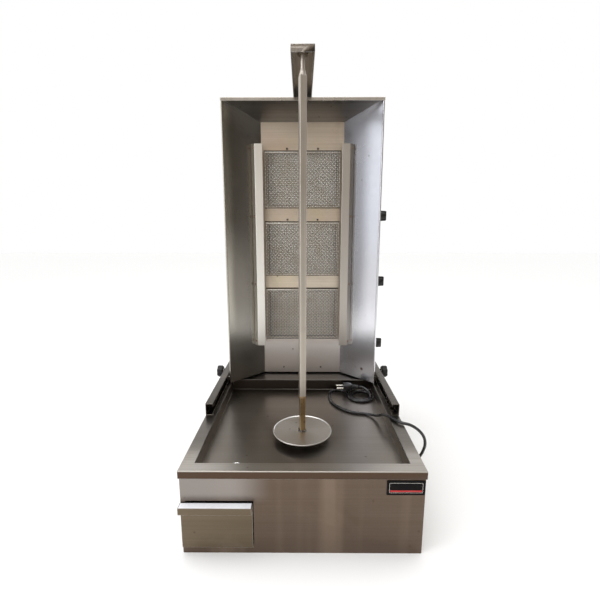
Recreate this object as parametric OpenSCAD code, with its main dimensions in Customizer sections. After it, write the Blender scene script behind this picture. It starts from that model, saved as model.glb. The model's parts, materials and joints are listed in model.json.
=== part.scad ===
// Vertical rotisserie broiler: a gas tower with three ceramic burners that slides
// on rails over a base with a drip tray, a grease drawer and a motor-driven spit.
// Millimetres. +Z is up, +X is the operator's right and the front faces -Y.
// The origin is the centre of the base's underside.

/* [Base] */
// Width of the base over the deck's lip
base_w = 450; // [370:5:560]
// Depth of the base, front to rear
base_d = 600; // [500:5:740]
// Height of the deck's rim above the counter
base_h = 170; // [155:1:210]
// Thickness of the folded sheet metal
sheet = 1.5; // [1:0.1:2]
// Width of the flat rim round the basin
rim_w = 26; // [22:1:34]
// Depth of the basin below the rim
basin_depth = 30; // [26:1:36]
// Flat deck behind the basin
rear_deck = 176; // [140:1:215]
// Height of the deck's turned-down lip
lip_h = 15; // [10:1:18]
// Air between the deck's lip and the base shell
lip_gap = 0.5; // [0.2:0.1:1]

/* [Rails and tower slide] */
// Start of the rails behind the front of the base
rail_start = 210; // [175:5:250]
// Width of one rail
rail_w = 18; // [16:1:22]
// Height of one rail
rail_h = 28; // [24:1:34]
// Height of the rail's turned-in lips
rail_lip = 5.5; // [4:0.5:6]
// Running gap between a runner and its rail
runner_gap = 0.6; // [0.4:0.1:1]
// Air between the tower's side and the rail
tower_gap = 6; // [4:0.5:9]
// Height of the tower's lower edge above the rim
tower_lift = 4.5; // [4:0.5:8]
// Travel of the tower towards the spit
tower_forward = 100; // [60:5:100]
// Travel of the tower towards the rear
tower_back = 35; // [20:1:36]

/* [Tower] */
// Height of the tower's roof above the rim
tower_h = 742; // [620:1:890]
// Depth of the flared wings, front edge to burner plate
wing_depth = 88; // [75:1:105]
// Width of the flat burner plate between the wings
back_w = 224; // [216:1:236]
// Depth of the housing behind the burner plate
housing_depth = 86; // [72:1:100]
// Drop of the hood from its front lip to the burner plate
hood_drop = 32; // [20:1:45]
// Height of the hood's front lip
hood_lip = 8; // [6:0.5:12]

/* [Burners] */
// Height of the middle burner above the rim
burner_mid = 371; // [350:1:390]
// Spacing of the burners
burner_pitch = 187.5; // [165:0.5:195]
// Width of a mesh screen
mesh_w = 204; // [180:1:208]
// Height of a mesh screen
mesh_h = 148; // [125:1:160]
// Width of one ceramic plaque
plaque_w = 91.5; // [80:0.5:93]
// Height of one ceramic plaque
plaque_h = 132; // [110:1:140]
// Drop of a burner's knob below its centre
knob_drop = 95; // [85:1:100]
// Distance of the knobs behind the burner plate
knob_back = 26; // [22:1:34]
// Radius of a burner knob's skirt
knob_r = 15.25; // [12:0.25:18]
// Radius of a valve stem
stem_r = 4; // [3:0.25:5]

/* [Guard strips] */
// Width of a guard strip's face
guard_w = 21; // [16:1:26]
// Clear half width between the guard strips
guard_inner = 105; // [104:1:110]
// Distance of the strips in front of the burner plate
guard_stand = 34; // [26:1:40]

/* [Spit and drive] */
// Distance of the spit in front of the burner plate
spit_reach = 305; // [280:1:320]
// Radius of the turntable plate
plate_r = 65; // [52:1:78]
// Height of the turntable's top face above the basin floor
plate_rise = 16; // [15:0.5:20]
// Width of the square spit tube
spit_w = 14; // [12.5:0.5:17]
// Width of the square drive stub below it
stub_w = 12; // [10:0.5:12]
// Length of the bare stub between the turntable and the tube
stub_show = 82; // [60:1:110]
// Gap round the stub in its socket, each side
socket_gap = 0.1; // [0.05:0.05:0.3]
// Angle of the spit's faces to the base
spit_turn = 13; // [0:1:45]
// Radius of the spit's upper pin
pin_r = 4; // [3:0.25:5]
// Lift that frees the spit from its socket
spit_lift = 23.5; // [20:0.5:24]
// Radius of the drive shaft's journal
journal_r = 11; // [10:0.5:12]
// Radial running gap of shafts, pins and studs
run_gap = 0.05; // [0.02:0.01:0.1]

/* [Arm] */
// Width of the top arm
arm_w = 45; // [38:1:52]
// Height of the top arm
arm_h = 14.5; // [12:0.5:20]
// Length of the arm in front of the spit
arm_nose = 15; // [12:1:25]
// Height of the arm's underside above the roof
arm_rise = 2; // [2:0.1:3]

/* [Grease drawer] */
// Width of the drawer's front
drawer_w = 132; // [110:1:158]
// Height of the drawer's front
drawer_h = 93; // [78:1:110]
// Height of the drawer's front above the counter
drawer_z = 13; // [10:1:16]
// Length of the drawer's pan
pan_len = 210; // [170:5:250]
// Forward reach of the drawer's handle
handle_reach = 15; // [12:1:25]
// Height of the handle's turned-down flange
handle_drop = 13; // [8:1:18]
// Open slot above the drawer's handle
slot_over = 3; // [1:0.5:5]
// Open slot beside the drawer's front
slot_side = 1.5; // [0.5:0.5:3]
// Gap between the drawer's pan and its runners
pan_gap = 0.5; // [0.3:0.1:1]
// Radius of the grease drain
drain_r = 11; // [8:1:13]

/* [Controls and supply] */
// Radius of a lock knob
lock_r = 17.5; // [14:0.5:20]
// Radius of a lock knob's stud
stud_r = 4; // [3:0.25:5]
// Width of the nameplate
plate_w = 69; // [50:1:80]
// Height of the nameplate
name_h = 28; // [20:1:32]
// Radius of the gas inlet's thread
inlet_r = 10.5; // [8:0.5:13]
// Radius of the mains cord
cord_r = 3.3; // [2.5:0.1:4]

/* [Hidden] */
$fn = 48;
cut = 1;

steel = [0.62, 0.60, 0.57];
steel_dark = [0.42, 0.40, 0.38];
steel_warm = [0.68, 0.63, 0.55];
black = [0.05, 0.05, 0.05];
brass = [0.72, 0.58, 0.33];
ceramic = [0.88, 0.84, 0.74];

// Base and basin; y is measured from the front of the base.
shell_w = base_w - 2 * (sheet + lip_gap);
shell_y0 = sheet + lip_gap;
shell_y1 = base_d - sheet - lip_gap;
deck_z = base_h - sheet;
basin_x = base_w / 2 - rim_w;
basin_y0 = rim_w;
basin_y1 = base_d - rear_deck;
floor_z = base_h - basin_depth;
under_z = floor_z - sheet;

// Rails and runners
rail_in = base_w / 2 - rail_w;
rail_top = base_h + rail_h;
rail_mid = base_h + rail_h / 2;
rail_void = rail_h - 2 * sheet;
runner_x0 = rail_in + sheet + runner_gap;
runner_x1 = base_w / 2 - sheet - runner_gap;
runner_z0 = base_h + sheet + runner_gap;
runner_z1 = rail_top - sheet - runner_gap;
runner_wall = 2;
web_h = rail_h - 2 * (sheet + rail_lip) - 4;

// Tower
tower_x = rail_in - tower_gap;
rear_margin = 40;
tower_y1 = base_d - rear_margin;
back_y = tower_y1 - housing_depth;
tower_y0 = back_y - wing_depth;
tower_z0 = base_h + tower_lift;
roof_z = base_h + tower_h;
hem_r = 2.5;
back_x = back_w / 2;
wing_x = tower_x - hem_r;
wing_y = tower_y0 + hem_r + 0.5;
hood_y0 = tower_y0 + sheet;
hood_z0 = roof_z - 2 * sheet;
hood_z1 = hood_z0 - hood_drop;
hood_slope = hood_drop / (back_y - hood_y0);
function hood_z(y) = hood_z0 - (y - hood_y0) * hood_slope;
wing_run = back_y - wing_y;
wing_len = sqrt(pow(wing_x - back_x, 2) + pow(wing_run, 2));
wing_n = [wing_run / wing_len, (wing_x - back_x) / wing_len];
side_y0 = tower_y0 + 2 * hem_r;

// Burners
burner_z = [for (i = [1, 0, -1]) base_h + burner_mid + i * burner_pitch];
knob_z = [for (z = burner_z) z - knob_drop];
knob_y = back_y + knob_back;
plaque_gap = 0.4;
plaque_t = 13;
bay_x = plaque_w + plaque_gap + 0.5;
bay_z = plaque_h / 2 + plaque_gap;
body_wall = 6;
body_depth = 40;
mesh_y = back_y - 8;
mesh_t = 2;

// Spit, turntable and drive
spit_y = back_y - spit_reach;
plate_top = floor_z + plate_rise;
plate_t = 2;
plate_rim = 1.8;
hub_t = 4;
shaft_top = plate_top - plate_t - hub_t;
socket_z = plate_top - spit_lift + 2.5;
stub_z0 = plate_top - spit_lift + 1.5;
collar_in = journal_r + 4.2;
collar_out = collar_in + sheet;
collar_top = shaft_top - 3.5;
hub_in = collar_out + 1.3;
hub_out = hub_in + 2.5;
tube_z0 = plate_top + stub_show;
arm_z0 = roof_z + arm_rise;
arm_top = arm_z0 + arm_h;
pin_z0 = arm_z0 - spit_lift - 0.5;
shoulder_h = 10;
tube_z1 = pin_z0 - shoulder_h;
bead = 4;
arm_y0 = spit_y - arm_nose;
arm_y1 = tower_y1;
arm_wall = 2;
gearbox_top = 101;
out_r = 6;
coupling_z = [gearbox_top + 4, gearbox_top + 25];
shaft_split = gearbox_top + 13;

// Drawer and drain
drawer_x0 = -shell_w / 2;
drawer_mid = drawer_x0 + drawer_w / 2;
pan_w = drawer_w - 26;
pan_z0 = drawer_z + 9;
pan_z1 = drawer_z + drawer_h - 10;
front_t = 1.5;
front_air = 0.5;
drain_x = drawer_x0 + drawer_w - 39;
drain_y = rim_w + 32;
spout_z = pan_z1 + 8;

// Side fittings
gland_y = 195;
gland_z = 60;
gland_r = 7.5;
gland_nose = 22;
switch_y = 420;
switch_z = 80;
rocker_r = 9.5;
lock_y = back_y - 20;
wall_x = shell_w / 2;

// The mains cord lies from the gland over the rim into the basin, as points in the
// object's own frame, and ends in a small coil with the plug on top of it.
cord_points = [
    [245, -105, 60], [253, -106, 61.5], [262, -108, 67], [269, -112, 77],
    [273.5, -117, 90], [276, -122, 104], [276.5, -127, 118], [274, -131, 132],
    [268.5, -134, 145], [260, -136, 156], [249, -137, 165.5], [236, -137, 172.5],
    [222, -134, 174.8], [210, -122, 174.8], [200, -105, 174.5], [191, -86, 169.4],
    [185, -68, 159], [179, -52, 150], [170, -38, 145], [157, -30, 143.6],
    [140, -27, 143.6], [122, -20, 143.6], [104, -5, 143.6], [88, 15, 143.6],
    [78, 38, 143.6], [75, 62, 143.6], [75, 76, 143.6], [76.5, 88, 143.6],
    [80, 100, 143.6], [89, 109, 143.6], [101.5, 112.5, 143.6], [114, 109, 143.6],
    [123, 100, 143.6], [127, 87, 143.6]];
cord_sides = 8;
coil_at = [161, 72];
coil_r = 36.5;
coil_z = 140.2;
coil_h = 7;
plug_x = [115, 158];
plug_y = 98;
plug_r = 12;

// Draws in coordinates whose y starts at the front of the base.
module from_front(tint) {
    color(tint) translate([0, -base_d / 2, 0]) children();
}

// A box between two corners.
module block(low, high) {
    translate(low) cube(high - low);
}

// A cylinder along +X, from x0 to x1.
module rod_x(x0, x1, y, z, r) {
    translate([x0, y, z]) rotate([0, 90, 0]) cylinder(h = x1 - x0, r = r);
}

// A cylinder along +Y, from y0 to y1.
module rod_y(x, y0, y1, z, r) {
    translate([x, y0, z]) rotate([-90, 0, 0]) cylinder(h = y1 - y0, r = r);
}

// A cylinder along +Z, from z0 to z1.
module rod_z(x, y, z0, z1, r) {
    translate([x, y, z0]) cylinder(h = z1 - z0, r = r);
}

// A square bar on the spit's axis.
module spit_bar(width, z0, z1) {
    translate([0, spit_y, z0]) rotate([0, 0, spit_turn])
        translate([-width / 2, -width / 2, 0]) cube([width, width, z1 - z0]);
}

// A side profile, in (y, z), across the whole width.
module across(half, points) {
    translate([-half, 0, 0]) rotate([90, 0, 90]) linear_extrude(2 * half) polygon(points);
}

// ---- Base ----

module base_shell() {
    vents = 6;
    from_front(steel) difference() {
        block([-wall_x, shell_y0, 0], [wall_x, shell_y1, deck_z]);
        block([-wall_x + sheet, shell_y0 + sheet, -cut],
            [wall_x - sheet, shell_y1 - sheet, deck_z + cut]);
        block([drawer_mid - pan_w / 2 - 4, shell_y0 - cut, pan_z0 - 4],
            [drawer_x0 + drawer_w + slot_side, shell_y0 + sheet + cut,
                drawer_z + drawer_h + slot_over]);
        rod_x(wall_x - sheet - cut, wall_x + cut, gland_y, gland_z, gland_r + 0.2);
        block([wall_x - sheet - cut, switch_y - 8, switch_z - 12],
            [wall_x + cut, switch_y + 8, switch_z + 12]);
        for (i = [0 : vents - 1])
            block([-90 + i * 32, shell_y1 - sheet - cut, 55], [-80 + i * 32, shell_y1 + cut, 115]);
    }
}

module base_bottom() {
    from_front(steel_dark) block([-wall_x + sheet, shell_y0 + sheet, 0],
        [wall_x - sheet, shell_y1 - sheet, sheet]);
}

module drip_tray() {
    from_front(steel) difference() {
        union() {
            difference() {
                block([-base_w / 2, 0, base_h - lip_h], [base_w / 2, base_d, base_h]);
                block([-base_w / 2 + sheet, sheet, base_h - lip_h - cut],
                    [base_w / 2 - sheet, base_d - sheet, deck_z]);
            }
            block([-basin_x - sheet, basin_y0 - sheet, under_z],
                [basin_x + sheet, basin_y1 + sheet, deck_z]);
        }
        difference() {
            block([-basin_x, basin_y0, floor_z], [basin_x, basin_y1, base_h + cut]);
            rod_z(0, spit_y, floor_z - cut, collar_top, collar_out);
        }
        rod_z(0, spit_y, under_z - cut, collar_top + cut, collar_in);
        rod_z(drain_x, drain_y, under_z - cut, floor_z + cut, drain_r);
    }
}

module nameplate() {
    x1 = wall_x - 1.5;
    z1 = base_h - lip_h - 3.5;
    border = 2.5;
    from_front(black) difference() {
        block([x1 - plate_w, shell_y0 - 1.5, z1 - name_h], [x1, shell_y0, z1]);
        block([x1 - plate_w + border, shell_y0 - 2, z1 - name_h + border],
            [x1 - border, shell_y0 - 1.2, z1 - border]);
    }
}

module rail() {
    from_front(steel_warm) difference() {
        union() {
            block([rail_in, rail_start, base_h], [base_w / 2, base_d, rail_top]);
            translate([base_w / 2 - cut, lock_y, rail_mid]) rotate([0, 90, 0])
                cylinder(h = 6 + cut, r = 8, $fn = 6);
        }
        block([rail_in + sheet, rail_start - cut, base_h + sheet],
            [base_w / 2 - sheet, base_d - sheet, rail_top - sheet]);
        block([rail_in - cut, rail_start - cut, base_h + sheet + rail_lip],
            [rail_in + sheet + cut, base_d - sheet, rail_top - sheet - rail_lip]);
        rod_x(base_w / 2 - sheet - cut, base_w / 2 + 8, lock_y, rail_mid, stud_r + run_gap);
    }
}

module left_rail() {
    mirror([1, 0, 0]) rail();
}

module right_rail() {
    rail();
}

module drawer_runners() {
    side = pan_w / 2 + pan_gap;
    leg = 12;
    from_front(steel_dark) for (s = [-1, 1]) {
        outer = drawer_mid + s * (side + sheet);
        inner = drawer_mid + s * side;
        tip = drawer_mid + s * (side - leg);
        union() {
            block([min(outer, inner), shell_y0 + sheet, sheet],
                [max(outer, inner), shell_y0 + pan_len + 20, pan_z0 + 18]);
            block([min(inner, tip), shell_y0 + sheet, pan_z0 - pan_gap - sheet],
                [max(inner, tip), shell_y0 + pan_len + 20, pan_z0 - pan_gap]);
        }
    }
}

module motor_bracket() {
    from_front(steel_dark) difference() {
        union() {
            block([-58, spit_y - 44, gearbox_top], [58, spit_y + 50, gearbox_top + 3]);
            for (x = [-48, 48], y = [-36, 42])
                rod_z(x, spit_y + y, gearbox_top + 3, under_z, 6);
        }
        rod_z(0, spit_y, gearbox_top - cut, gearbox_top + 4, out_r + 10);
    }
}

module gearbox() {
    from_front([0.35, 0.36, 0.38]) difference() {
        block([-42, spit_y - 30, 66], [42, spit_y + 46, gearbox_top]);
        rod_z(0, spit_y, 76, gearbox_top + cut, out_r + run_gap);
    }
}

module motor_can() {
    from_front([0.2, 0.2, 0.22]) union() {
        rod_z(0, spit_y + 8, 16, 66, 30);
        rod_z(0, spit_y + 8, 10, 16, 12);
    }
}

module shaft_bearing() {
    from_front(brass) difference() {
        union() {
            rod_z(0, spit_y, under_z - 8, collar_top - 0.5, collar_in - 0.2);
            rod_z(0, spit_y, under_z - 3, under_z, collar_in + 6);
        }
        rod_z(0, spit_y, under_z - 9, collar_top, journal_r + run_gap);
    }
}

module drain_spout() {
    from_front(steel) difference() {
        union() {
            rod_z(drain_x, drain_y, spout_z, under_z, drain_r + sheet);
            rod_z(drain_x, drain_y, under_z - sheet, under_z, drain_r + 7);
        }
        rod_z(drain_x, drain_y, spout_z - cut, under_z + cut, drain_r);
    }
}

// ---- Electrical parts in the base ----

module cord_gland() {
    from_front(black) union() {
        rod_x(wall_x - 9, wall_x, gland_y, gland_z, gland_r);
        translate([wall_x - 6, gland_y, gland_z]) rotate([0, 90, 0])
            cylinder(h = 6 - sheet, r = 11, $fn = 6);
        translate([wall_x, gland_y, gland_z]) rotate([0, 90, 0]) cylinder(h = 7, r = 11, $fn = 6);
        translate([wall_x + 7, gland_y, gland_z]) rotate([0, 90, 0])
            cylinder(h = gland_nose - 7, r1 = 8, r2 = cord_r + 1.4);
    }
}

module terminal_block() {
    from_front([0.9, 0.88, 0.8]) difference() {
        block([110, 290, sheet], [160, 308, sheet + 16]);
        for (i = [0 : 3]) rod_z(117 + i * 12, 299, sheet + 8, sheet + 17, 3);
    }
}

// A lead of round sections, with a slightly fuller ball at each corner.
module lead(points, r) {
    for (i = [0 : len(points) - 2]) {
        run = points[i + 1] - points[i];
        translate(points[i]) rotate([0, acos(run[2] / norm(run)), atan2(run[1], run[0])])
            cylinder(h = norm(run), r = r);
        if (i > 0) translate(points[i]) sphere(1.2 * r);
    }
}

module motor_leads() {
    from_front([0.75, 0.1, 0.08]) union() {
        lead([[wall_x - 9, gland_y, gland_z], [190, gland_y, gland_z], [190, 299, gland_z],
            [190, 299, 10], [160, 299, 10]], 2.5);
        lead([[110, 299, 10], [70, 299, 10], [70, 299, 30], [70, spit_y + 8, 30],
            [30, spit_y + 8, 30]], 2.5);
    }
}

module switch_housing() {
    from_front(black) difference() {
        union() {
            block([wall_x - 20, switch_y - 7.6, switch_z - 11.6],
                [wall_x, switch_y + 7.6, switch_z + 11.6]);
            block([wall_x, switch_y - 10, switch_z - 15],
                [wall_x + 2, switch_y + 10, switch_z + 15]);
        }
        rod_y(wall_x - 6, switch_y - 6.3, switch_y + 6.3, switch_z, rocker_r + 0.4);
        block([wall_x - 6, switch_y - 6.3, switch_z - 9.9],
            [wall_x + 3, switch_y + 6.3, switch_z + 9.9]);
    }
}

module switch_rocker() {
    tilt = 10;
    from_front([0.6, 0.05, 0.04]) intersection() {
        rod_y(wall_x - 6, switch_y - 6, switch_y + 6, switch_z, rocker_r);
        for (s = [-1, 1]) translate([wall_x + 1.2, switch_y, switch_z]) rotate([0, s * tilt, 0])
            translate([-30, -7, -20]) cube([30, 14, 40]);
    }
}

// ---- Mains cord and plug ----

function unit(v) = v / norm(v);
function heading(p, i) = unit(p[min(i + 1, len(p) - 1)] - p[max(i - 1, 0)]);
function ring(p, i, r, n) =
    let (t = heading(p, i), u = unit(cross([1, 1, 1], t)), v = cross(t, u))
    [for (k = [0 : n - 1]) p[i] + r * (cos(k * 360 / n) * u + sin(k * 360 / n) * v)];

module power_cord() {
    last = len(cord_points) - 1;
    rings = [for (i = [0 : last]) each ring(cord_points, i, cord_r, cord_sides)];
    sides = [for (i = [0 : last - 1], k = [0 : cord_sides - 1])
        [i * cord_sides + k, (i + 1) * cord_sides + k,
            (i + 1) * cord_sides + (k + 1) % cord_sides, i * cord_sides + (k + 1) % cord_sides]];
    caps = [[for (k = [0 : cord_sides - 1]) k],
        [for (k = [cord_sides - 1 : -1 : 0]) last * cord_sides + k]];
    color(black) polyhedron(rings, concat(sides, caps), convexity = 8);
}

module cord_coil() {
    color(black) translate([coil_at[0], coil_at[1], coil_z]) difference() {
        cylinder(h = coil_h, r = coil_r);
        translate([0, 0, -cut]) cylinder(h = coil_h + 2 * cut, r = coil_r - 4 * cord_r - 1);
    }
}

module plug_body() {
    z = coil_z + coil_h + plug_r;
    color(black) intersection() {
        union() {
            translate([plug_x[0], plug_y, z]) rotate([0, 90, 0]) cylinder(h = 22, r = plug_r + 3);
            translate([plug_x[0] + 22, plug_y, z]) rotate([0, 90, 0])
                cylinder(h = plug_x[1] - plug_x[0] - 22, r1 = plug_r, r2 = 5);
        }
        block([plug_x[0], plug_y - plug_r, z - plug_r], [plug_x[1], plug_y + plug_r, z + plug_r]);
    }
}

module plug_pins() {
    z = coil_z + coil_h + plug_r;
    color(brass) for (y = [-9.5, 9.5])
        translate([plug_x[0] - 19, plug_y + y, z]) rotate([0, 90, 0]) cylinder(h = 19, r = 2.4);
}

// ---- Grease drawer ----

module drawer_pan() {
    from_front(steel) difference() {
        block([drawer_mid - pan_w / 2, shell_y0 - front_air, pan_z0],
            [drawer_mid + pan_w / 2, shell_y0 + pan_len, pan_z1]);
        block([drawer_mid - pan_w / 2 + sheet, shell_y0 - front_air + sheet, pan_z0 + sheet],
            [drawer_mid + pan_w / 2 - sheet, shell_y0 + pan_len - sheet, pan_z1 + cut]);
    }
}

module drawer_front() {
    back = shell_y0 - front_air;
    face = back - front_t;
    top = drawer_z + drawer_h;
    x1 = drawer_x0 + drawer_w;
    from_front(steel) union() {
        block([drawer_x0, face, drawer_z], [x1, back, top]);
        block([drawer_x0, face - handle_reach, top - front_t], [x1, face, top]);
        block([drawer_x0, face - handle_reach, top - handle_drop],
            [x1, face - handle_reach + front_t, top - front_t]);
    }
}

// ---- Drive and turntable ----

module output_shaft() {
    from_front(steel) rod_z(0, spit_y, 78, shaft_split, out_r);
}

module shaft_coupling() {
    from_front(steel_dark) difference() {
        rod_z(0, spit_y, coupling_z[0], coupling_z[1], out_r + 7);
        rod_z(0, spit_y, coupling_z[0] - cut, shaft_split, out_r);
        rod_z(0, spit_y, shaft_split, coupling_z[1] + cut, out_r + 2);
    }
}

module drive_shaft() {
    from_front(steel) difference() {
        union() {
            rod_z(0, spit_y, shaft_split, coupling_z[1], out_r + 2);
            rod_z(0, spit_y, coupling_z[1], shaft_top, journal_r);
        }
        spit_bar(stub_w + 2 * socket_gap, socket_z - 2, shaft_top + cut);
    }
}

module turntable_hub() {
    from_front(steel_dark) difference() {
        rod_z(0, spit_y, collar_top - 3.5, shaft_top + hub_t, hub_out);
        rod_z(0, spit_y, collar_top - 4.5, shaft_top, hub_in);
        spit_bar(stub_w + 2 * socket_gap, shaft_top - cut, shaft_top + hub_t + cut);
    }
}

module turntable_plate() {
    from_front(steel) difference() {
        rod_z(0, spit_y, plate_top - plate_t, plate_top + plate_rim, plate_r);
        rod_z(0, spit_y, plate_top, plate_top + plate_rim + cut, plate_r - 1.8);
        spit_bar(stub_w + 2 * socket_gap, plate_top - plate_t - cut, plate_top + cut);
    }
}

// ---- Spit ----

module spit_stub() {
    from_front(brass) union() {
        spit_bar(stub_w, stub_z0, tube_z0 + 10);
        spit_bar(spit_w + 1.5, tube_z0 - bead, tube_z0);
    }
}

module spit_tube() {
    from_front(steel_warm) difference() {
        spit_bar(spit_w, tube_z0, tube_z1);
        spit_bar(stub_w + 0.1, tube_z0 - cut, tube_z1 + cut);
    }
}

module spit_tip() {
    plug_len = 12;
    from_front(steel_warm) union() {
        rod_z(0, spit_y, tube_z1 - plug_len, tube_z1 + 1, stub_w / 2);
        translate([0, spit_y, tube_z1])
            cylinder(h = shoulder_h, r1 = spit_w / 2, r2 = pin_r + 0.5);
        rod_z(0, spit_y, pin_z0 - 1, arm_top - 1.5, pin_r);
    }
}

// ---- Tower ----

module runner() {
    y0 = side_y0 + 6;
    y1 = tower_y1 - 6;
    from_front(steel_dark) difference() {
        union() {
            block([runner_x0, y0, runner_z0], [runner_x1, y1, runner_z1]);
            block([tower_x, y0, rail_mid - web_h / 2],
                [runner_x0 + runner_wall, y1, rail_mid + web_h / 2]);
        }
        block([runner_x0 + runner_wall, y0 - cut, runner_z0 + runner_wall],
            [runner_x1 - runner_wall, y1 + cut, runner_z1 - runner_wall]);
    }
}

module left_runner() {
    mirror([1, 0, 0]) runner();
}

module right_runner() {
    runner();
}

module tower_floor() {
    from_front(steel_dark) block([-tower_x + sheet, back_y + sheet, tower_z0],
        [tower_x - sheet, tower_y1 - sheet, tower_z0 + sheet]);
}

module side_panels() {
    from_front(steel) difference() {
        for (s = [-1, 1]) {
            x0 = s > 0 ? tower_x - sheet : -tower_x;
            block([x0, side_y0, tower_z0], [x0 + sheet, tower_y1 - sheet, roof_z - sheet]);
        }
        for (z = knob_z) rod_x(tower_x - sheet - cut, tower_x + cut, knob_y, z, stem_r + 1);
    }
}

module back_cover() {
    slots = 9;
    from_front(steel) difference() {
        block([-tower_x, tower_y1 - sheet, tower_z0], [tower_x, tower_y1, roof_z - sheet]);
        for (i = [0 : slots - 1])
            block([-70, tower_y1 - sheet - cut, roof_z - 60 - i * 22],
                [70, tower_y1 + cut, roof_z - 52 - i * 22]);
        rod_y(tower_x - 40, tower_y1 - sheet - cut, tower_y1 + cut, inlet_z, pipe_r + 1);
    }
}

module burner_plate() {
    from_front(steel_warm) difference() {
        block([-back_x, back_y, tower_z0], [back_x, back_y + sheet, hood_z1]);
        for (z = burner_z)
            block([-bay_x - 1, back_y - cut, z - bay_z - 1],
                [bay_x + 1, back_y + sheet + cut, z + bay_z + 1]);
    }
}

module wing() {
    from_front(steel) intersection() {
        union() {
            translate([0, 0, tower_z0]) linear_extrude(roof_z - tower_z0)
                polygon([[wing_x, wing_y], [back_x, back_y], [back_x, back_y] + sheet * wing_n,
                    [wing_x, wing_y] + sheet * wing_n]);
            rod_z(wing_x, tower_y0 + hem_r, tower_z0, roof_z, hem_r);
        }
        across(tower_x, [[tower_y0, tower_z0], [back_y + 3, tower_z0],
            [back_y + 3, hood_z(back_y + 3)], [hood_y0, hood_z0],
            [hood_y0, roof_z - hood_lip], [tower_y0, roof_z - hood_lip]]);
    }
}

module left_wing() {
    mirror([1, 0, 0]) wing();
}

module right_wing() {
    wing();
}

module hood_panel() {
    from_front(steel_dark) intersection() {
        across(tower_x, [[hood_y0, hood_z0], [back_y, hood_z1],
            [back_y, hood_z1 + sheet], [hood_y0, hood_z0 + sheet]]);
        translate([0, 0, hood_z1 - cut]) linear_extrude(hood_drop + 2 * sheet + cut)
            polygon([[-wing_x, hood_y0], [wing_x, hood_y0], [wing_x, wing_y],
                [back_x, back_y], [-back_x, back_y], [-wing_x, wing_y]]);
    }
}

module roof_panel() {
    from_front(steel) union() {
        block([-tower_x, tower_y0, roof_z - sheet], [tower_x, tower_y1, roof_z]);
        block([-tower_x, tower_y0, roof_z - hood_lip], [tower_x, tower_y0 + sheet, roof_z - sheet]);
    }
}

guard_y = back_y - guard_stand;
guard_x1 = guard_inner + guard_w;
guard_foot_x = guard_x1 + 10;
guard_foot_y = back_y - (guard_foot_x - back_x) * wing_run / (wing_x - back_x) - 0.3;
guard_z = [burner_z[2] - mesh_h / 2 - 12, burner_z[0] + mesh_h / 2 + 14];

module guard_strip() {
    from_front(steel_warm) translate([0, 0, guard_z[0]])
        linear_extrude(guard_z[1] - guard_z[0])
            polygon([[guard_inner, guard_y], [guard_x1, guard_y], [guard_foot_x, guard_foot_y - sheet],
                [guard_foot_x, guard_foot_y], [guard_x1 - 0.6, guard_y + sheet],
                [guard_inner, guard_y + sheet]]);
}

module left_guard_strip() {
    mirror([1, 0, 0]) guard_strip();
}

module right_guard_strip() {
    guard_strip();
}

// Screw and rivet heads on the burner plate and the back cover.
module tower_screws() {
    from_front(steel_dark) union() {
        for (x = [-42, 42], i = [0, 1])
            rod_y(x, back_y - 2.5, back_y, burner_z[i] + mesh_h / 2 + 7, 3);
        for (x = [-55, 55]) rod_y(x, back_y - 1.5, back_y, tower_z0 + 16, 2.5);
        for (x = [-1, 1], z = [tower_z0 + 20, (tower_z0 + roof_z) / 2, roof_z - 20])
            rod_y(x * (tower_x - 12), tower_y1, tower_y1 + 2.5, z, 4);
    }
}

// ---- Burners and gas train ----

module burner_bodies() {
    y0 = back_y + sheet;
    from_front(steel_dark) for (z = burner_z) difference() {
        block([-bay_x - body_wall, y0, z - bay_z - body_wall],
            [bay_x + body_wall, y0 + body_depth, z + bay_z + body_wall]);
        block([-bay_x, y0 - cut, z - bay_z], [bay_x, y0 + plaque_t + 0.5, z + bay_z]);
        block([-bay_x + 4, y0, z - bay_z + 4], [bay_x - 4, y0 + body_depth - 3, z + bay_z - 4]);
    }
}

module ceramic_plaques() {
    y0 = back_y + sheet + 0.3;
    from_front(ceramic) for (z = burner_z, s = [-1, 1]) {
        x0 = s > 0 ? plaque_gap : -plaque_gap - plaque_w;
        block([x0, y0, z - plaque_h / 2], [x0 + plaque_w, y0 + plaque_t, z + plaque_h / 2]);
    }
}

module mesh_screen(z) {
    from_front([0.55, 0.52, 0.47]) union() {
        block([-mesh_w / 2, mesh_y, z - mesh_h / 2], [mesh_w / 2, mesh_y + mesh_t, z + mesh_h / 2]);
        for (x = [-1, 1], s = [-1, 1])
            rod_y(x * (mesh_w / 2 - 4), mesh_y + mesh_t, back_y, z + s * (mesh_h / 2 - 3), 2);
    }
}

module mesh_screen_1() {
    mesh_screen(burner_z[0]);
}

module mesh_screen_2() {
    mesh_screen(burner_z[1]);
}

module mesh_screen_3() {
    mesh_screen(burner_z[2]);
}

pipe_x = tower_x - 20;
pipe_y = knob_y + 32;
pipe_r = 7;
inlet_z = tower_z0 + 45;

module gas_manifold() {
    from_front(steel_dark) difference() {
        union() {
            rod_z(pipe_x, pipe_y, inlet_z - 15, knob_z[0] + 25, pipe_r);
            rod_x(tower_x - 40, pipe_x, pipe_y, inlet_z, pipe_r);
            translate([tower_x - 40, pipe_y, inlet_z]) sphere(pipe_r);
            rod_y(tower_x - 40, pipe_y, tower_y1 + 2, inlet_z, pipe_r);
            rod_y(tower_x - 40, tower_y1 + 1, tower_y1 + 25, inlet_z, inlet_r);
        }
        rod_y(tower_x - 40, tower_y1 + 5, tower_y1 + 26, inlet_z, inlet_r - 3.5);
    }
}

module gas_valves() {
    from_front(brass) for (z = knob_z) difference() {
        union() {
            block([tower_x - 32, knob_y - 10, z - 10], [tower_x - sheet, knob_y + 10, z + 10]);
            rod_y(pipe_x, knob_y + 10, pipe_y - pipe_r + 1.5, z, 4);
        }
        rod_x(tower_x - 18, tower_x, knob_y, z, stem_r + run_gap);
    }
}

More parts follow.
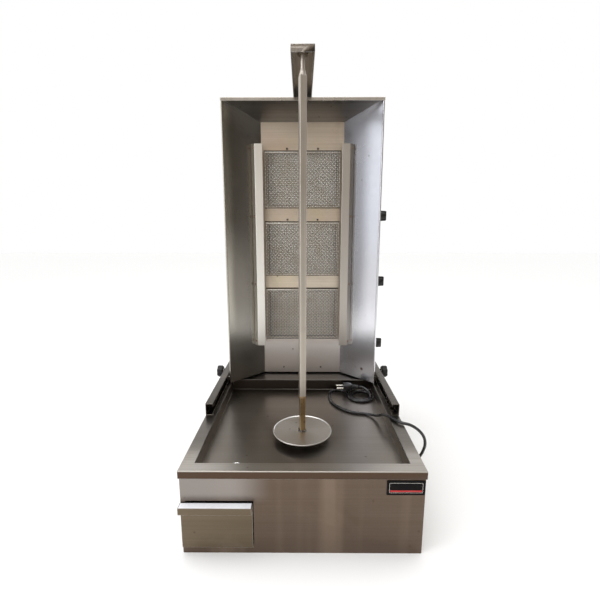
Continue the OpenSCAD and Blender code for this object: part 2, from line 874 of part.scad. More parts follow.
module gas_tubes() {
    x1 = tower_x - 50;
    from_front(steel_dark) for (i = [0 : 2]) union() {
        rod_x(0, x1, knob_y, knob_z[i], 9);
        translate([0, knob_y, knob_z[i]]) sphere(9);
        rod_z(0, knob_y, knob_z[i], burner_z[i] - bay_z - body_wall, 9);
        rod_x(x1, tower_x - 32, knob_y, knob_z[i], 3.5);
    }
}

module burner_knob(z) {
    x0 = tower_x + 3;
    from_front(black) union() {
        rod_x(x0, x0 + 7, knob_y, z, knob_r);
        rod_x(x0 + 7, x0 + 32, knob_y, z, knob_r - 4);
        block([x0 + 7, knob_y - 3.5, z - knob_r + 1], [x0 + 35, knob_y + 3.5, z + knob_r - 1]);
        rod_x(tower_x - 17, x0, knob_y, z, stem_r);
    }
}

module burner_knob_1() {
    burner_knob(knob_z[0]);
}

module burner_knob_2() {
    burner_knob(knob_z[1]);
}

module burner_knob_3() {
    burner_knob(knob_z[2]);
}

// ---- Top arm ----

module arm_channel() {
    from_front(steel_warm) difference() {
        block([-arm_w / 2, arm_y0, arm_z0], [arm_w / 2, arm_y1, arm_top]);
        block([-arm_w / 2 + arm_wall, arm_y0 + arm_wall, arm_z0 - cut],
            [arm_w / 2 - arm_wall, arm_y1 + cut, arm_top - arm_wall]);
        rod_z(0, spit_y, arm_z0, arm_top + cut, pin_r + 0.6);
    }
}

module arm_bush() {
    from_front(brass) difference() {
        rod_z(0, spit_y, arm_z0 + 0.5, arm_top - arm_wall, 10);
        rod_z(0, spit_y, arm_z0, arm_top, pin_r + run_gap);
    }
}

module arm_guides() {
    air = 0.5;
    strap = arm_rise - air;
    x0 = arm_w / 2 + air;
    from_front(steel) for (y = [back_y + 14, tower_y1 - 30]) difference() {
        union() {
            block([-x0 - strap, y, roof_z], [x0 + strap, y + 16, arm_top + air + strap]);
            block([-x0 - 12, y, roof_z], [x0 + 12, y + 16, roof_z + strap]);
        }
        block([-x0, y - cut, roof_z + strap], [x0, y + 17, arm_top + air]);
    }
}

// ---- Lock knobs ----

module lock_knob() {
    lobes = 6;
    lobe_r = 4.5;
    x0 = base_w / 2 + 7.5;
    from_front(black) union() {
        translate([x0, lock_y, rail_mid]) rotate([0, 90, 0]) linear_extrude(17) union() {
            circle(lock_r - lobe_r + 1);
            for (i = [0 : lobes - 1]) rotate([0, 0, i * 360 / lobes])
                translate([lock_r - lobe_r, 0]) circle(lobe_r);
        }
        rod_x(runner_x1 + 0.4, x0, lock_y, rail_mid, stud_r);
    }
}

module left_lock_knob() {
    mirror([1, 0, 0]) lock_knob();
}

module right_lock_knob() {
    lock_knob();
}

base_shell();
base_bottom();
drip_tray();
nameplate();
left_rail();
right_rail();
drawer_runners();
motor_bracket();
gearbox();
motor_can();
shaft_bearing();
drain_spout();
cord_gland();
terminal_block();
motor_leads();
switch_housing();
switch_rocker();
power_cord();
cord_coil();
plug_body();
plug_pins();
drawer_pan();
drawer_front();
output_shaft();
shaft_coupling();
drive_shaft();
turntable_hub();
turntable_plate();
spit_stub();
spit_tube();
spit_tip();
left_runner();
right_runner();
tower_floor();
side_panels();
back_cover();
burner_plate();
left_wing();
right_wing();
hood_panel();
roof_panel();
left_guard_strip();
right_guard_strip();
tower_screws();
burner_bodies();
ceramic_plaques();
mesh_screen_1();
mesh_screen_2();
mesh_screen_3();
gas_manifold();
gas_valves();
gas_tubes();
burner_knob_1();
burner_knob_2();
burner_knob_3();
arm_channel();
arm_guides();
arm_bush();
left_lock_knob();
right_lock_knob();
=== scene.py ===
# %% [markdown]
# # A vertical rotisserie broiler
# The machine is mostly folded stainless sheet: a base with a drip basin, and a
# tower with three ceramic burners behind woven wire. This lesson dresses the
# exact frame that carries it. Every value is in metres, and +Z is up.

# %% Load the frame
import json
import math
import random

import bmesh
import bpy
from mathutils import Matrix, Vector

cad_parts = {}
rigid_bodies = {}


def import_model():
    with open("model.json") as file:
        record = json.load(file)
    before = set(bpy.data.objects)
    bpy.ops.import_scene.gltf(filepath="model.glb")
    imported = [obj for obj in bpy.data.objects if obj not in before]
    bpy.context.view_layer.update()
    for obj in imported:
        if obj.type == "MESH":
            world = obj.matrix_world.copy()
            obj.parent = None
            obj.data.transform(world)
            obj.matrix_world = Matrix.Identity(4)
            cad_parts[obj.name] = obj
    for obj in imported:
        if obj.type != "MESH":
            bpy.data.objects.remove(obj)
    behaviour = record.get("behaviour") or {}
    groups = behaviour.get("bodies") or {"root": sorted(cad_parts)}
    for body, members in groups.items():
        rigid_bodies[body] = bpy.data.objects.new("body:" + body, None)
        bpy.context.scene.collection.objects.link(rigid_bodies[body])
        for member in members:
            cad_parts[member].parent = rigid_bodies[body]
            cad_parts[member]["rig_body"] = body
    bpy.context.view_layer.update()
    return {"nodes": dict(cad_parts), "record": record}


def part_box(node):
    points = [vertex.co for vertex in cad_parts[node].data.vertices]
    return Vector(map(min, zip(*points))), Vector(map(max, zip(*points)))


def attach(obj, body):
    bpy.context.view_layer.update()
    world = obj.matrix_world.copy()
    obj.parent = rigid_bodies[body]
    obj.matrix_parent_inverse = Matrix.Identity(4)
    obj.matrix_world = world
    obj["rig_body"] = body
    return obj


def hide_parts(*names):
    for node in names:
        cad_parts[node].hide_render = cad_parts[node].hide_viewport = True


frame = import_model()
nodes = frame["nodes"]

# %% [markdown]
# ## Camera
# The view is close and wide: the lens stands about sixty centimetres in front
# of the base and looks down a little, so the base spreads out below and the
# tower narrows towards its top. A short lens gives that, and a long one would
# show the tower as a plain upright box.

# %% Camera
camera_place = (-0.001, -0.911, 0.595)
looks_down = math.radians(10.5)
turned_left = math.radians(0.3)


def into_scene(name, data):
    """Puts a mesh, curve, lamp or camera into the scene as an object."""
    thing = bpy.data.objects.new(name, data)
    bpy.context.scene.collection.objects.link(thing)
    return thing


camera_data = bpy.data.cameras.new("camera")
camera_data.lens = 22.8
camera_data.clip_start = 0.01
camera = into_scene("camera", camera_data)
camera.location = camera_place
camera.rotation_euler = (math.radians(90) - looks_down, 0, turned_left)
bpy.context.scene.camera = camera
print("camera at", camera_place)

# %% [markdown]
# ## Mains cord
# A round PVC lead stays where it falls: it climbs out of its gland, lies over the rim and drops
# into the basin, where its last turns carry the plug. A curve with a round section is the
# natural tool, because its length can be measured before anything is drawn. The points of the
# free run are listed, and the turns of the heap are worked out. All of them are millimetres.

# %% Cord route
cord_radius = 0.0033
lead_mm = [
    (245, -105, 60), (253, -106, 61.5), (262, -108, 67), (269, -112, 77),
    (273.5, -117, 90), (276, -122, 104), (276.5, -127, 118), (274, -131, 132),
    (268.5, -134, 145), (260, -136, 156), (249, -137, 165.5), (236, -137, 172.5),
    (222, -134, 174.8), (210, -122, 174.8), (200, -105, 174.5), (191, -86, 169.4),
    (185, -68, 159), (179, -52, 150), (170, -38, 145), (157, -30, 143.6),
    (140, -27, 143.6), (122, -20, 143.6), (104, -5, 143.6), (88, 15, 143.6),
    (78, 38, 143.6), (75, 62, 143.6), (75, 76, 143.6), (76.5, 88, 143.6),
    (80, 100, 143.6), (89, 109, 143.6), (101.5, 112.5, 143.6), (114, 109, 143.6),
    (123, 100, 143.6), (127, 87, 143.6),
]
heap_centre = (161, 72)
heap_floor = 143.6
heap_radius = 33.2
heap_first, heap_last, heap_step = 172, 806, 18
inner_turn_inset = 7.0
inset_from, inset_over = 430, 90
rise_from, rise_over = 690, 115
plug_tail = (160.5, 98, 159.2)


def eased(turn, start, over):
    """Rises smoothly from 0 to 1, starting at an angle and over a stretch."""
    share = min(1, max(0, (turn - start) / over))
    return share * share * (3 - 2 * share)


def heap_point(turn):
    """A point of the heap, turn degrees round it."""
    radius = heap_radius - inner_turn_inset * eased(turn, inset_from, inset_over)
    height = heap_floor + (plug_tail[2] - heap_floor) * eased(turn, rise_from, rise_over)
    angle = math.radians(turn)
    return (heap_centre[0] + radius * math.cos(angle),
            heap_centre[1] + radius * math.sin(angle), height)


heap_mm = [heap_point(turn) for turn in range(heap_first, heap_last, heap_step)]
route = [Vector(point) / 1000 for point in lead_mm + heap_mm + [plug_tail]]
print("cord points", len(route))


# %% [markdown]
# ### One round curve
# The handles of each point follow its neighbours, so the bends stay even. The
# thickness is set by each point's own radius and not by the bevel, because
# only then does the curve's box hold the true size.

# %% Cord
def even_curve(name, points, radius):
    """A round curve through the points, with handles from their neighbours."""
    data = bpy.data.curves.new(name, "CURVE")
    data.dimensions = "3D"
    data.bevel_depth = 1.0
    data.bevel_resolution = 4
    data.resolution_u = 5
    data.use_fill_caps = True
    spline = data.splines.new("BEZIER")
    spline.bezier_points.add(len(points) - 1)
    for i, knot in enumerate(spline.bezier_points):
        before = points[max(i - 1, 0)]
        after = points[min(i + 1, len(points) - 1)]
        way = (after - before).normalized()
        knot.co = points[i]
        knot.radius = radius
        knot.handle_left_type = knot.handle_right_type = "FREE"
        knot.handle_left = points[i] - way * (points[i] - before).length / 3
        knot.handle_right = points[i] + way * (after - points[i]).length / 3
    return into_scene(name, data)


cord = even_curve("mains_cord", route, cord_radius)

# %% [markdown]
# ## Making pieces
# Most shapes here are rings of corners joined into a skin: the rings differ in a loft and are
# round in a turned shape. A boolean of plain solids could give some of them, but rings keep
# every edge where it is wanted. Each piece then says which body carries it and which finish it
# wears, and that is all a joint needs to move it.

# %% Rings to skins
def skin(bm, rings, ends="closed"):
    """Joins equal rings of corners. The ends are closed, open or joined."""
    following = rings[1:] + rings[:1] if ends == "joined" else rings[1:]
    for low, high in zip(rings, following):
        for i, corner in enumerate(low):
            j = (i + 1) % len(low)
            bm.faces.new((corner, low[j], high[j], high[i]))
    if ends == "closed":
        bm.faces.new(rings[0])
        bm.faces.new(rings[-1])


def turn(bm, profile, centre, axis="x", count=32, ends="closed"):
    """Adds a turned shape: (along, radius) pairs swept round an axis."""
    rings = []
    for along, radius in profile:
        ring = []
        for k in range(count):
            c = radius * math.cos(2 * math.pi * k / count)
            s = radius * math.sin(2 * math.pi * k / count)
            offset = (along, c, s) if axis == "x" else (c, s, along)
            ring.append(bm.verts.new(Vector(centre) + Vector(offset)))
        rings.append(ring)
    skin(bm, rings, ends)
    return bm


def loft(bm, outlines, place):
    """Adds a loft of (along, outline) pairs, where place puts each corner."""
    skin(bm, [[bm.verts.new(place(u, v, along)) for u, v in outline]
              for along, outline in outlines])
    return bm


def rounded_outline(half_u, half_v, power, count):
    """A closed outline between an ellipse and a box, as (u, v) pairs."""
    outline = []
    for i in range(count):
        angle = 2 * math.pi * i / count
        c, s = math.cos(angle), math.sin(angle)
        outline.append((half_u * math.copysign(abs(c) ** (2 / power), c),
                        half_v * math.copysign(abs(s) ** (2 / power), s)))
    return outline


# %% Skins to pieces
def from_bmesh(name, bm, smooth_angle=None):
    """An object from a finished bmesh, smooth where faces meet gently."""
    data = bpy.data.meshes.new(name)
    bmesh.ops.recalc_face_normals(bm, faces=bm.faces)
    bm.to_mesh(data)
    bm.free()
    piece = into_scene(name, data)
    if smooth_angle is not None:
        data.shade_smooth()
        data.set_sharp_from_angle(angle=math.radians(smooth_angle))
        even = piece.modifiers.new("flat_faces_stay_flat", "WEIGHTED_NORMAL")
        even.keep_sharp = True
    return piece


def fit_out(piece, body, slot, *stands_for):
    """Puts a piece on its body in place of plain solids; its slot is not used."""
    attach(piece, body)
    if stands_for:
        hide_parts(*stands_for)
    return piece


def middle(low, high):
    """The centre of a node's box."""
    return (low + high) / 2


print("helpers ready")

# %% [markdown]
# ## Plug
# A moulded two-pin plug is wide at the pins and tapers to a ribbed tail that
# bends with the cord. It is lofted: one rounded outline is repeated along the
# plug with new widths, and a few outlines closer together make each rib. The
# pins are turned, with a collar where the insulation ends.

# %% Plug body
plug_low, plug_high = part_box("plug_body")
plug_mid = middle(plug_low, plug_high)
plug_corners = 40
rib_count, rib_pitch = 6, 0.0030


def plug_place(u, v, along):
    return Vector((plug_low.x + along, plug_mid.y + u, plug_mid.z + v))


plug_outlines = []
for along, half_width, half_height, power in [
        (0.0, 0.0108, 0.0100, 3.2), (0.0008, 0.0118, 0.0110, 3.2),
        (0.0060, 0.0120, 0.0116, 3.0), (0.0130, 0.0120, 0.0118, 2.8),
        (0.0190, 0.0116, 0.0112, 2.6), (0.0235, 0.0098, 0.0094, 2.4)]:
    plug_outlines.append((along, rounded_outline(half_width, half_height, power, plug_corners)))
for rib in range(rib_count):
    start = 0.0245 + rib * rib_pitch
    reach = 0.0082 - rib * 0.00055
    for step, swell in ((0.0, 0.78), (0.0004, 1.0), (0.0017, 1.0), (0.0021, 0.78)):
        half = reach * swell
        plug_outlines.append((start + step, rounded_outline(half, half, 2.1, plug_corners)))
plug_outlines.append((0.0428, rounded_outline(0.0044, 0.0044, 2, plug_corners)))
plug = from_bmesh("plug_moulding", loft(bmesh.new(), plug_outlines, plug_place), 40)
fit_out(plug, "base", "plug_plastic", "plug_body")
print("plug outlines", len(plug_outlines))

# %% Plug pins
pin_low, pin_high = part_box("plug_pins")
pin_offset = 0.0095
pin_profile = [(0.0, 0.0009), (0.0007, 0.0018), (0.0020, 0.0023), (0.0085, 0.0024),
               (0.0087, 0.0021), (pin_high.x - pin_low.x, 0.0021)]
pins = bmesh.new()
for side in (-1, 1):
    turn(pins, pin_profile, (pin_low.x, plug_mid.y + side * pin_offset, plug_mid.z), count=24)
plug_prongs = from_bmesh("plug_prongs", pins, 35)
fit_out(plug_prongs, "base", "pin_brass", "plug_pins")
print("pin length", round(pin_high.x - pin_low.x, 4))

# %% [markdown]
# ## Cord gland
# The gland holds the cord at the base's side: a hexagon screwed to the wall,
# a domed nut, and a ribbed sleeve that gets thinner, so that the cord bends
# gently. From any distance it is a turned shape, so one profile is swept round
# the cord's axis.

# %% Gland
gland_low, gland_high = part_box("cord_gland")
gland_mid = middle(gland_low, gland_high)
shell_low, shell_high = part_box("base_shell")
wall_x = shell_high.x
gland_profile = [(-0.009, 0.0074), (0.0, 0.0074), (0.0, 0.0108), (0.0004, 0.0112),
                 (0.0062, 0.0112), (0.0068, 0.0106), (0.0072, 0.0084)]
for rib in range(4):
    start = 0.0078 + rib * 0.0034
    reach = 0.0078 - rib * 0.0009
    gland_profile += [(start, reach * 0.86), (start + 0.0004, reach),
                      (start + 0.0021, reach * 0.97), (start + 0.0025, reach * 0.82)]
gland_profile.append((gland_high.x - wall_x, cord_radius + 0.0009))
gland_skin = turn(bmesh.new(), gland_profile, (wall_x, gland_mid.y, gland_mid.z))
gland = from_bmesh("gland_sleeve", gland_skin, 35)
fit_out(gland, "base", "gland_plastic", "cord_gland")
fit_out(cord, "base", "cord_rubber", "power_cord", "cord_coil")
print("gland reaches", round(gland_high.x, 4))

# %% [markdown]
# ## Shared surface effects
# Brushed sheet, stains, small pits and worn edges with a painted highlight turn up on nearly
# every steel part. Each is a node group with named inputs, built once, so one effect looks the
# same everywhere and only its values change. A group gives out colours, masks and heights, and
# the shader stays in each material.

# %% Node helpers
FLOAT, COLOUR, VECTOR = "NodeSocketFloat", "NodeSocketColor", "NodeSocketVector"


def put(tree, kind, wires=None, **settings):
    """Adds a node, sets its properties and feeds its inputs."""
    node = tree.nodes.new("ShaderNode" + kind)
    for key, value in settings.items():
        setattr(node, key, value)
    for key, source in (wires or {}).items():
        if isinstance(source, bpy.types.NodeSocket):
            tree.links.new(source, node.inputs[key])
        else:
            node.inputs[key].default_value = source
    return node


def new_group(name, inputs, outputs):
    """An empty shader group with (name, type, value) inputs."""
    tree = bpy.data.node_groups.new(name, "ShaderNodeTree")
    for label, kind, value in inputs:
        socket = tree.interface.new_socket(name=label, in_out="INPUT", socket_type=kind)
        socket.default_value = value
    for label, kind in outputs:
        tree.interface.new_socket(name=label, in_out="OUTPUT", socket_type=kind)
    return tree, tree.nodes.new("NodeGroupInput"), tree.nodes.new("NodeGroupOutput")


def use_group(tree, group, **values):
    """Places a shared effect in a material, with its own values."""
    node = put(tree, "Group", node_tree=group)
    for key, value in values.items():
        node.inputs[key].default_value = value
    return node


# %% Value and colour helpers
def maths(tree, operation, a, b, c=0.0, clamp=False):
    """A sum on two values, or on three where the operation takes them."""
    return put(tree, "Math", {0: a, 1: b, 2: c}, operation=operation, use_clamp=clamp).outputs[0]


def spread(tree, value, low, high, to_low=0.0, to_high=1.0, ease="SMOOTHSTEP"):
    """Maps a value from one range to another, eased at both ends."""
    wires = {0: value, 1: low, 2: high, 3: to_low, 4: to_high}
    return put(tree, "MapRange", wires, interpolation_type=ease).outputs[0]


def blend_colour(tree, factor, a, b):
    """Colour a where the factor is 0, and colour b where it is 1."""
    return put(tree, "Mix", {0: factor, 6: a, 7: b}, data_type="RGBA").outputs[2]


def tint(tree, colour, mask, over, share=1.0):
    """Lays one more colour over another where a mask says."""
    factor = mask if share == 1.0 else maths(tree, "MULTIPLY", mask, share)
    return blend_colour(tree, factor, colour, (*over, 1))


def own_place(tree):
    """The point on the piece itself, in metres."""
    return put(tree, "TexCoord").outputs["Object"]


def stretched_place(tree, place, by):
    return put(tree, "VectorMath", {0: place, 1: by}, operation="MULTIPLY").outputs[0]


def distance(tree, a, b):
    return put(tree, "VectorMath", {0: a, 1: b}, operation="DISTANCE").outputs["Value"]


def noise(tree, place, scale, detail, **more):
    wires = {"Vector": place, "Scale": scale, "Detail": detail, **more}
    return put(tree, "TexNoise", wires).outputs[0]


print("node helpers ready")

# %% [markdown]
# ### Brushed sheet
# Rolled stainless is brushed in one direction. Noise squeezed across the
# brushing and drawn out along it gives the lines, a wider copy gives the
# bands that are seen from afar, and soft clouds keep a large panel from
# looking printed.

# %% Brushed lines
brushed, given, made = new_group(
    "brushed_lines",
    [("Stretch", VECTOR, (4, 400, 400)), ("Light", COLOUR, (0.6, 0.6, 0.6, 1)),
     ("Dark", COLOUR, (0.4, 0.4, 0.4, 1)), ("Contrast", FLOAT, 1.0),
     ("Smooth", FLOAT, 0.2), ("Rough", FLOAT, 0.35)],
    [("Colour", COLOUR), ("Roughness", FLOAT), ("Lines", FLOAT)])
place = own_place(brushed)
fine_place = stretched_place(brushed, place, given.outputs["Stretch"])
wide_place = stretched_place(brushed, fine_place, (0.13, 0.13, 0.13))
fine = noise(brushed, fine_place, 1.0, 3.0)
wide = noise(brushed, wide_place, 1.0, 2.0)
cloud = noise(brushed, place, 6.0, 3.0)
mixed = maths(brushed, "MULTIPLY", cloud, 0.3)
mixed = maths(brushed, "MULTIPLY_ADD", wide, 0.3, mixed)
mixed = maths(brushed, "MULTIPLY_ADD", fine, 0.4, mixed)
centred = maths(brushed, "MULTIPLY", maths(brushed, "SUBTRACT", mixed, 0.5),
                given.outputs["Contrast"])
level = maths(brushed, "MULTIPLY_ADD", centred, 3.0, 0.5, clamp=True)
sheen = blend_colour(brushed, level, given.outputs["Dark"], given.outputs["Light"])
dullness = maths(brushed, "MULTIPLY_ADD", maths(brushed, "SUBTRACT", cloud, 0.5), 1.6, 0.5,
                 clamp=True)
rough = spread(brushed, dullness, 0.0, 1.0, given.outputs["Smooth"], given.outputs["Rough"],
               ease="LINEAR")
brushed.links.new(sheen, made.inputs["Colour"])
brushed.links.new(rough, made.inputs["Roughness"])
brushed.links.new(fine, made.inputs["Lines"])
print("brushed_lines", len(brushed.nodes), "nodes")

# %% [markdown]
# ### Patches, pits, and worn edges with a painted highlight
# Patches are soft stains with a torn outline: grease on the basin, heat tint round the burners.
# Pits are rare small dots. The edge mask compares the true normal with one rounded over a
# millimetre, so it finds folds by itself; the lighter colour laid on it is partly wear and
# partly a painted highlight.

# %% Patches
patches, given, made = new_group(
    "soft_patches", [("Size", FLOAT, 9.0), ("From", FLOAT, 0.55), ("To", FLOAT, 0.75)],
    [("Mask", FLOAT)])
torn = noise(patches, own_place(patches), given.outputs["Size"], 6.0, Roughness=0.62,
             Distortion=0.6)
patches.links.new(spread(patches, torn, given.outputs["From"], given.outputs["To"]),
                  made.inputs["Mask"])
print("soft_patches", len(patches.nodes), "nodes")

# %% Pits
pits, given, made = new_group(
    "small_pits", [("Size", FLOAT, 60.0), ("Share", FLOAT, 0.08)], [("Mask", FLOAT)])
cells = put(pits, "TexVoronoi", {"Vector": own_place(pits), "Scale": given.outputs["Size"]})
dot = spread(pits, cells.outputs["Distance"], 0.10, 0.24, 1.0, 0.0, ease="LINEAR")
odd = put(pits, "SeparateColor", {0: cells.outputs["Color"]}).outputs[0]
chosen = maths(pits, "LESS_THAN", odd, given.outputs["Share"])
pits.links.new(maths(pits, "MULTIPLY", dot, chosen), made.inputs["Mask"])
print("small_pits", len(pits.nodes), "nodes")

# %% Worn edges with a painted highlight
worn_and_lit, given, made = new_group(
    "worn_and_lit_edges", [("Width", FLOAT, 0.0012), ("Strength", FLOAT, 1.0)],
    [("Mask", FLOAT), ("Normal", VECTOR)])
round_normal = put(worn_and_lit, "Bevel", {"Radius": given.outputs["Width"]}, samples=4).outputs[0]
true_normal = put(worn_and_lit, "NewGeometry").outputs["Normal"]
agree = put(worn_and_lit, "VectorMath", {0: round_normal, 1: true_normal},
            operation="DOT_PRODUCT").outputs["Value"]
bend = maths(worn_and_lit, "MULTIPLY", maths(worn_and_lit, "SUBTRACT", 1.0, agree), 6.0, clamp=True)
worn_and_lit.links.new(maths(worn_and_lit, "MULTIPLY", bend, given.outputs["Strength"], clamp=True),
               made.inputs["Mask"])
worn_and_lit.links.new(round_normal, made.inputs["Normal"])
print("worn_and_lit_edges", len(worn_and_lit.nodes), "nodes")

# %% [markdown]
# ## Steel
# All the sheet is the same stainless, but each panel has its own colours: the basin is dark and
# glossy, the panels by the fire are tinted straw, and several panels carry painted shade,
# painted shadow and painted reflections. One function makes a steel from its two colours, its
# brushing and its dirt. The brushing stretches highlights along the shader's own tangent.

# %% Steel maker
finishes = {}
ALONG_X, ALONG_Y, ALONG_Z = (3, 420, 420), (420, 3, 420), (420, 420, 3)


def new_finish(name):
    """A new material on the list of finishes, with its nodes and its shader."""
    material = bpy.data.materials.new(name)
    material.use_nodes = True
    finishes[name] = material
    return material.node_tree, material.node_tree.nodes["Principled BSDF"]


def raised(tree, shader, height, strength, depth, **more):
    """Gives a finish its relief, from a height that changes over the surface."""
    bump = put(tree, "Bump", {"Height": height, "Strength": strength, "Distance": depth, **more})
    tree.links.new(bump.outputs[0], shader.inputs["Normal"])


def steel(name, light, dark, brushing=ALONG_X, smooth=0.22, rough=0.36, contrast=1.0,
          stain=(0.30, 0.25, 0.19), stain_share=0.35, stain_size=9.0,
          edge=(0.80, 0.78, 0.74), relief=0.05, stretched=0.5, local_tint=None):
    """A stainless finish. Local tints add one panel's marks; the edge colour is wear and painted
    highlight.
    """
    tree, shader = new_finish(name)
    lines = use_group(tree, brushed, Stretch=brushing, Light=(*light, 1), Dark=(*dark, 1),
                      Contrast=contrast, Smooth=smooth, Rough=rough)
    dirt = use_group(tree, patches, Size=stain_size, From=0.52, To=0.78)
    dots = use_group(tree, pits, Size=70.0, Share=0.05)
    edges = use_group(tree, worn_and_lit, Width=0.0012, Strength=0.8)
    dirt_level = maths(tree, "MULTIPLY", dirt.outputs["Mask"], stain_share)
    colour = tint(tree, lines.outputs["Colour"], dirt_level, stain)
    if local_tint:
        colour = local_tint(tree, colour)
    colour = tint(tree, colour, dots.outputs["Mask"], (0.10, 0.07, 0.05), 0.6)
    # The lighter edge colour is partly wear and partly a painted highlight on the folds.
    colour = tint(tree, colour, edges.outputs["Mask"], edge)
    tree.links.new(colour, shader.inputs["Base Color"])
    roughness = maths(tree, "MULTIPLY_ADD", dirt_level, 0.35, lines.outputs["Roughness"],
                      clamp=True)
    tree.links.new(roughness, shader.inputs["Roughness"])
    raised(tree, shader, lines.outputs["Lines"], relief, 0.0004, Normal=edges.outputs["Normal"])
    shader.inputs["Metallic"].default_value = 1.0
    if stretched:
        shader.inputs["Anisotropic"].default_value = stretched
        tangent = put(tree, "Tangent", direction_type="RADIAL", axis="Z")
        tree.links.new(tangent.outputs[0], shader.inputs["Tangent"])
        if brushing == ALONG_Z:
            shader.inputs["Anisotropic Rotation"].default_value = 0.25


# %% [markdown]
# ### Local tints
# Some marks sit in one place: straw and rose tint beside each burner, a rust spot low on the
# right wing, painted reflection bands on the front and the wings, painted shade on the front
# face and painted shadow on the deck under the tower. Each is a mask from the object's own
# coordinates, so it stays on the metal from any side.

# %% Masks in place
def spot(tree, centre, radius):
    """A torn round mask about a point, soft over its outer half."""
    place = own_place(tree)
    wobble = maths(tree, "SUBTRACT", noise(tree, place, 90.0, 3.0), 0.5)
    torn = maths(tree, "MULTIPLY_ADD", wobble, radius, distance(tree, place, centre))
    return spread(tree, torn, radius / 2, radius, 1.0, 0.0)


def slab(tree, axis, low, high):
    """A mask that rises from low to high along one axis, in metres."""
    place = put(tree, "SeparateXYZ", {0: own_place(tree)})
    return spread(tree, place.outputs[axis], low, high)


def both(tree, mask, other):
    """The part that two masks share."""
    return maths(tree, "MULTIPLY", mask, other)


# %% Tints of the base
tray_low, tray_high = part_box("drip_tray")
basin_depth = 0.030
basin_floor = tray_high.z - basin_depth


def front_bands(tree, colour):
    """Painted reflections as upright bands, painted shade turning the front face brown, a
    lighter patch high on the left.
    """
    wave = noise(tree, stretched_place(tree, own_place(tree), (1.0, 1.0, 0.06)), 15.0, 2.0)
    # Painted shade darkens the front face to brown.
    front = slab(tree, "Y", shell_low.y + 0.0018, shell_low.y + 0.0008)
    colour = tint(tree, colour, front, (0.085, 0.052, 0.034), 0.85)
    # Painted reflection: upright bands laid over the sheet.
    bands = spread(tree, wave, 0.44, 0.62, 0.0, 0.65)
    colour = tint(tree, colour, bands, (0.23, 0.175, 0.13))
    # A lighter patch high on the left.
    lighter_patch = both(tree, slab(tree, "X", -0.05, -0.13), slab(tree, "Z", 0.100, 0.125))
    return tint(tree, colour, lighter_patch, (0.31, 0.285, 0.265), 0.8)


def deck_darkening_and_painted_shadow(tree, colour):
    """Darker basin floor and rim tops, painted shade on the lip's face, painted shadow under the
    tower.
    """
    # The basin floor is darker.
    floor = slab(tree, "Z", basin_floor + 0.0035, basin_floor + 0.0012)
    colour = tint(tree, colour, floor, (0.20, 0.175, 0.150), 0.75)
    # Painted shadow: the deck under the tower is nearly black.
    painted_tower_shadow = slab(tree, "Y", 0.085, 0.125)
    colour = tint(tree, colour, painted_tower_shadow, (0.045, 0.037, 0.030), 0.9)
    # The rim tops are darker behind the front.
    rims = both(tree, slab(tree, "Z", tray_high.z - 0.005, tray_high.z - 0.001),
                slab(tree, "Y", -0.275, -0.20))
    colour = tint(tree, colour, rims, (0.10, 0.088, 0.075), 0.75)
    # Painted shade: the lip's front face gets the front panel's brown.
    lip = both(tree, slab(tree, "Y", tray_low.y + 0.0012, tray_low.y + 0.0004),
               slab(tree, "Z", tray_high.z - 0.001, tray_high.z - 0.002))
    return tint(tree, colour, lip, (0.085, 0.055, 0.038))


# %% Tints of the tower
rust_places = [((0.168, 0.117, 0.205), 0.006), ((0.152, 0.133, 0.207), 0.0028),
               ((0.163, 0.122, 0.219), 0.0022)]


def heat_tint(tree, colour):
    """Straw and rose clouds near the fire, and a paler foot."""
    straw = use_group(tree, patches, Size=7.0, From=0.46, To=0.66).outputs["Mask"]
    rose = use_group(tree, patches, Size=5.0, From=0.50, To=0.72).outputs["Mask"]
    colour = tint(tree, colour, straw, (0.62, 0.53, 0.36), 0.45)
    colour = tint(tree, colour, rose, (0.60, 0.43, 0.36), 0.35)
    return tint(tree, colour, slab(tree, "Z", 0.30, 0.25), (0.98, 0.94, 0.92))


def wing_bands(tree, colour):
    """Painted reflection bands on both wings, darker inwards on the right and warm on the left;
    and rust spots.
    """
    left, right = slab(tree, "X", 0.0, -0.01), slab(tree, "X", 0.0, 0.01)
    foot = slab(tree, "Z", 0.42, 0.26)
    place = put(tree, "SeparateXYZ", {0: own_place(tree)})
    wobble = noise(tree, own_place(tree), 7.0, 2.0)
    # Painted reflection: the right wing darkens towards the tower.
    across = maths(tree, "MULTIPLY_ADD", wobble, 0.012, place.outputs["X"])
    inner_right = both(tree, spread(tree, across, 0.190, 0.158), right)
    colour = tint(tree, colour, inner_right, (0.32, 0.32, 0.34), 0.75)
    # Painted reflection: the left wing is warm and dark, with a lighter outer band.
    outer_left = spread(tree, across, -0.172, -0.190)
    warm = blend_colour(tree, outer_left, (0.235, 0.215, 0.185, 1), (0.46, 0.43, 0.37, 1))
    warm = tint(tree, warm, foot, (0.42, 0.40, 0.36))
    colour = blend_colour(tree, left, colour, warm)
    # Painted reflection: the right wing's foot is paler.
    colour = tint(tree, colour, both(tree, foot, right), (0.92, 0.92, 0.96))
    for centre, radius in rust_places:
        colour = tint(tree, colour, spot(tree, centre, radius), (0.16, 0.075, 0.035), 0.85)
    return colour


def bright_left(tree, colour):
    """The left guard strip is lighter than the right one."""
    colour = tint(tree, colour, slab(tree, "X", 0.02, 0.04), (0.47, 0.44, 0.40))
    return tint(tree, colour, slab(tree, "X", -0.02, -0.04), (0.80, 0.78, 0.73))


# %% Steels of the base
steel("base_steel", (0.48, 0.43, 0.37), (0.32, 0.27, 0.22), contrast=0.8, smooth=0.28,
      rough=0.40, edge=(0.50, 0.46, 0.42), local_tint=front_bands)
steel("tray_steel", (0.48, 0.45, 0.41), (0.33, 0.30, 0.265), smooth=0.26, rough=0.38,
      stain_share=0.4, stain_size=6.0, stretched=0.35, local_tint=deck_darkening_and_painted_shadow)
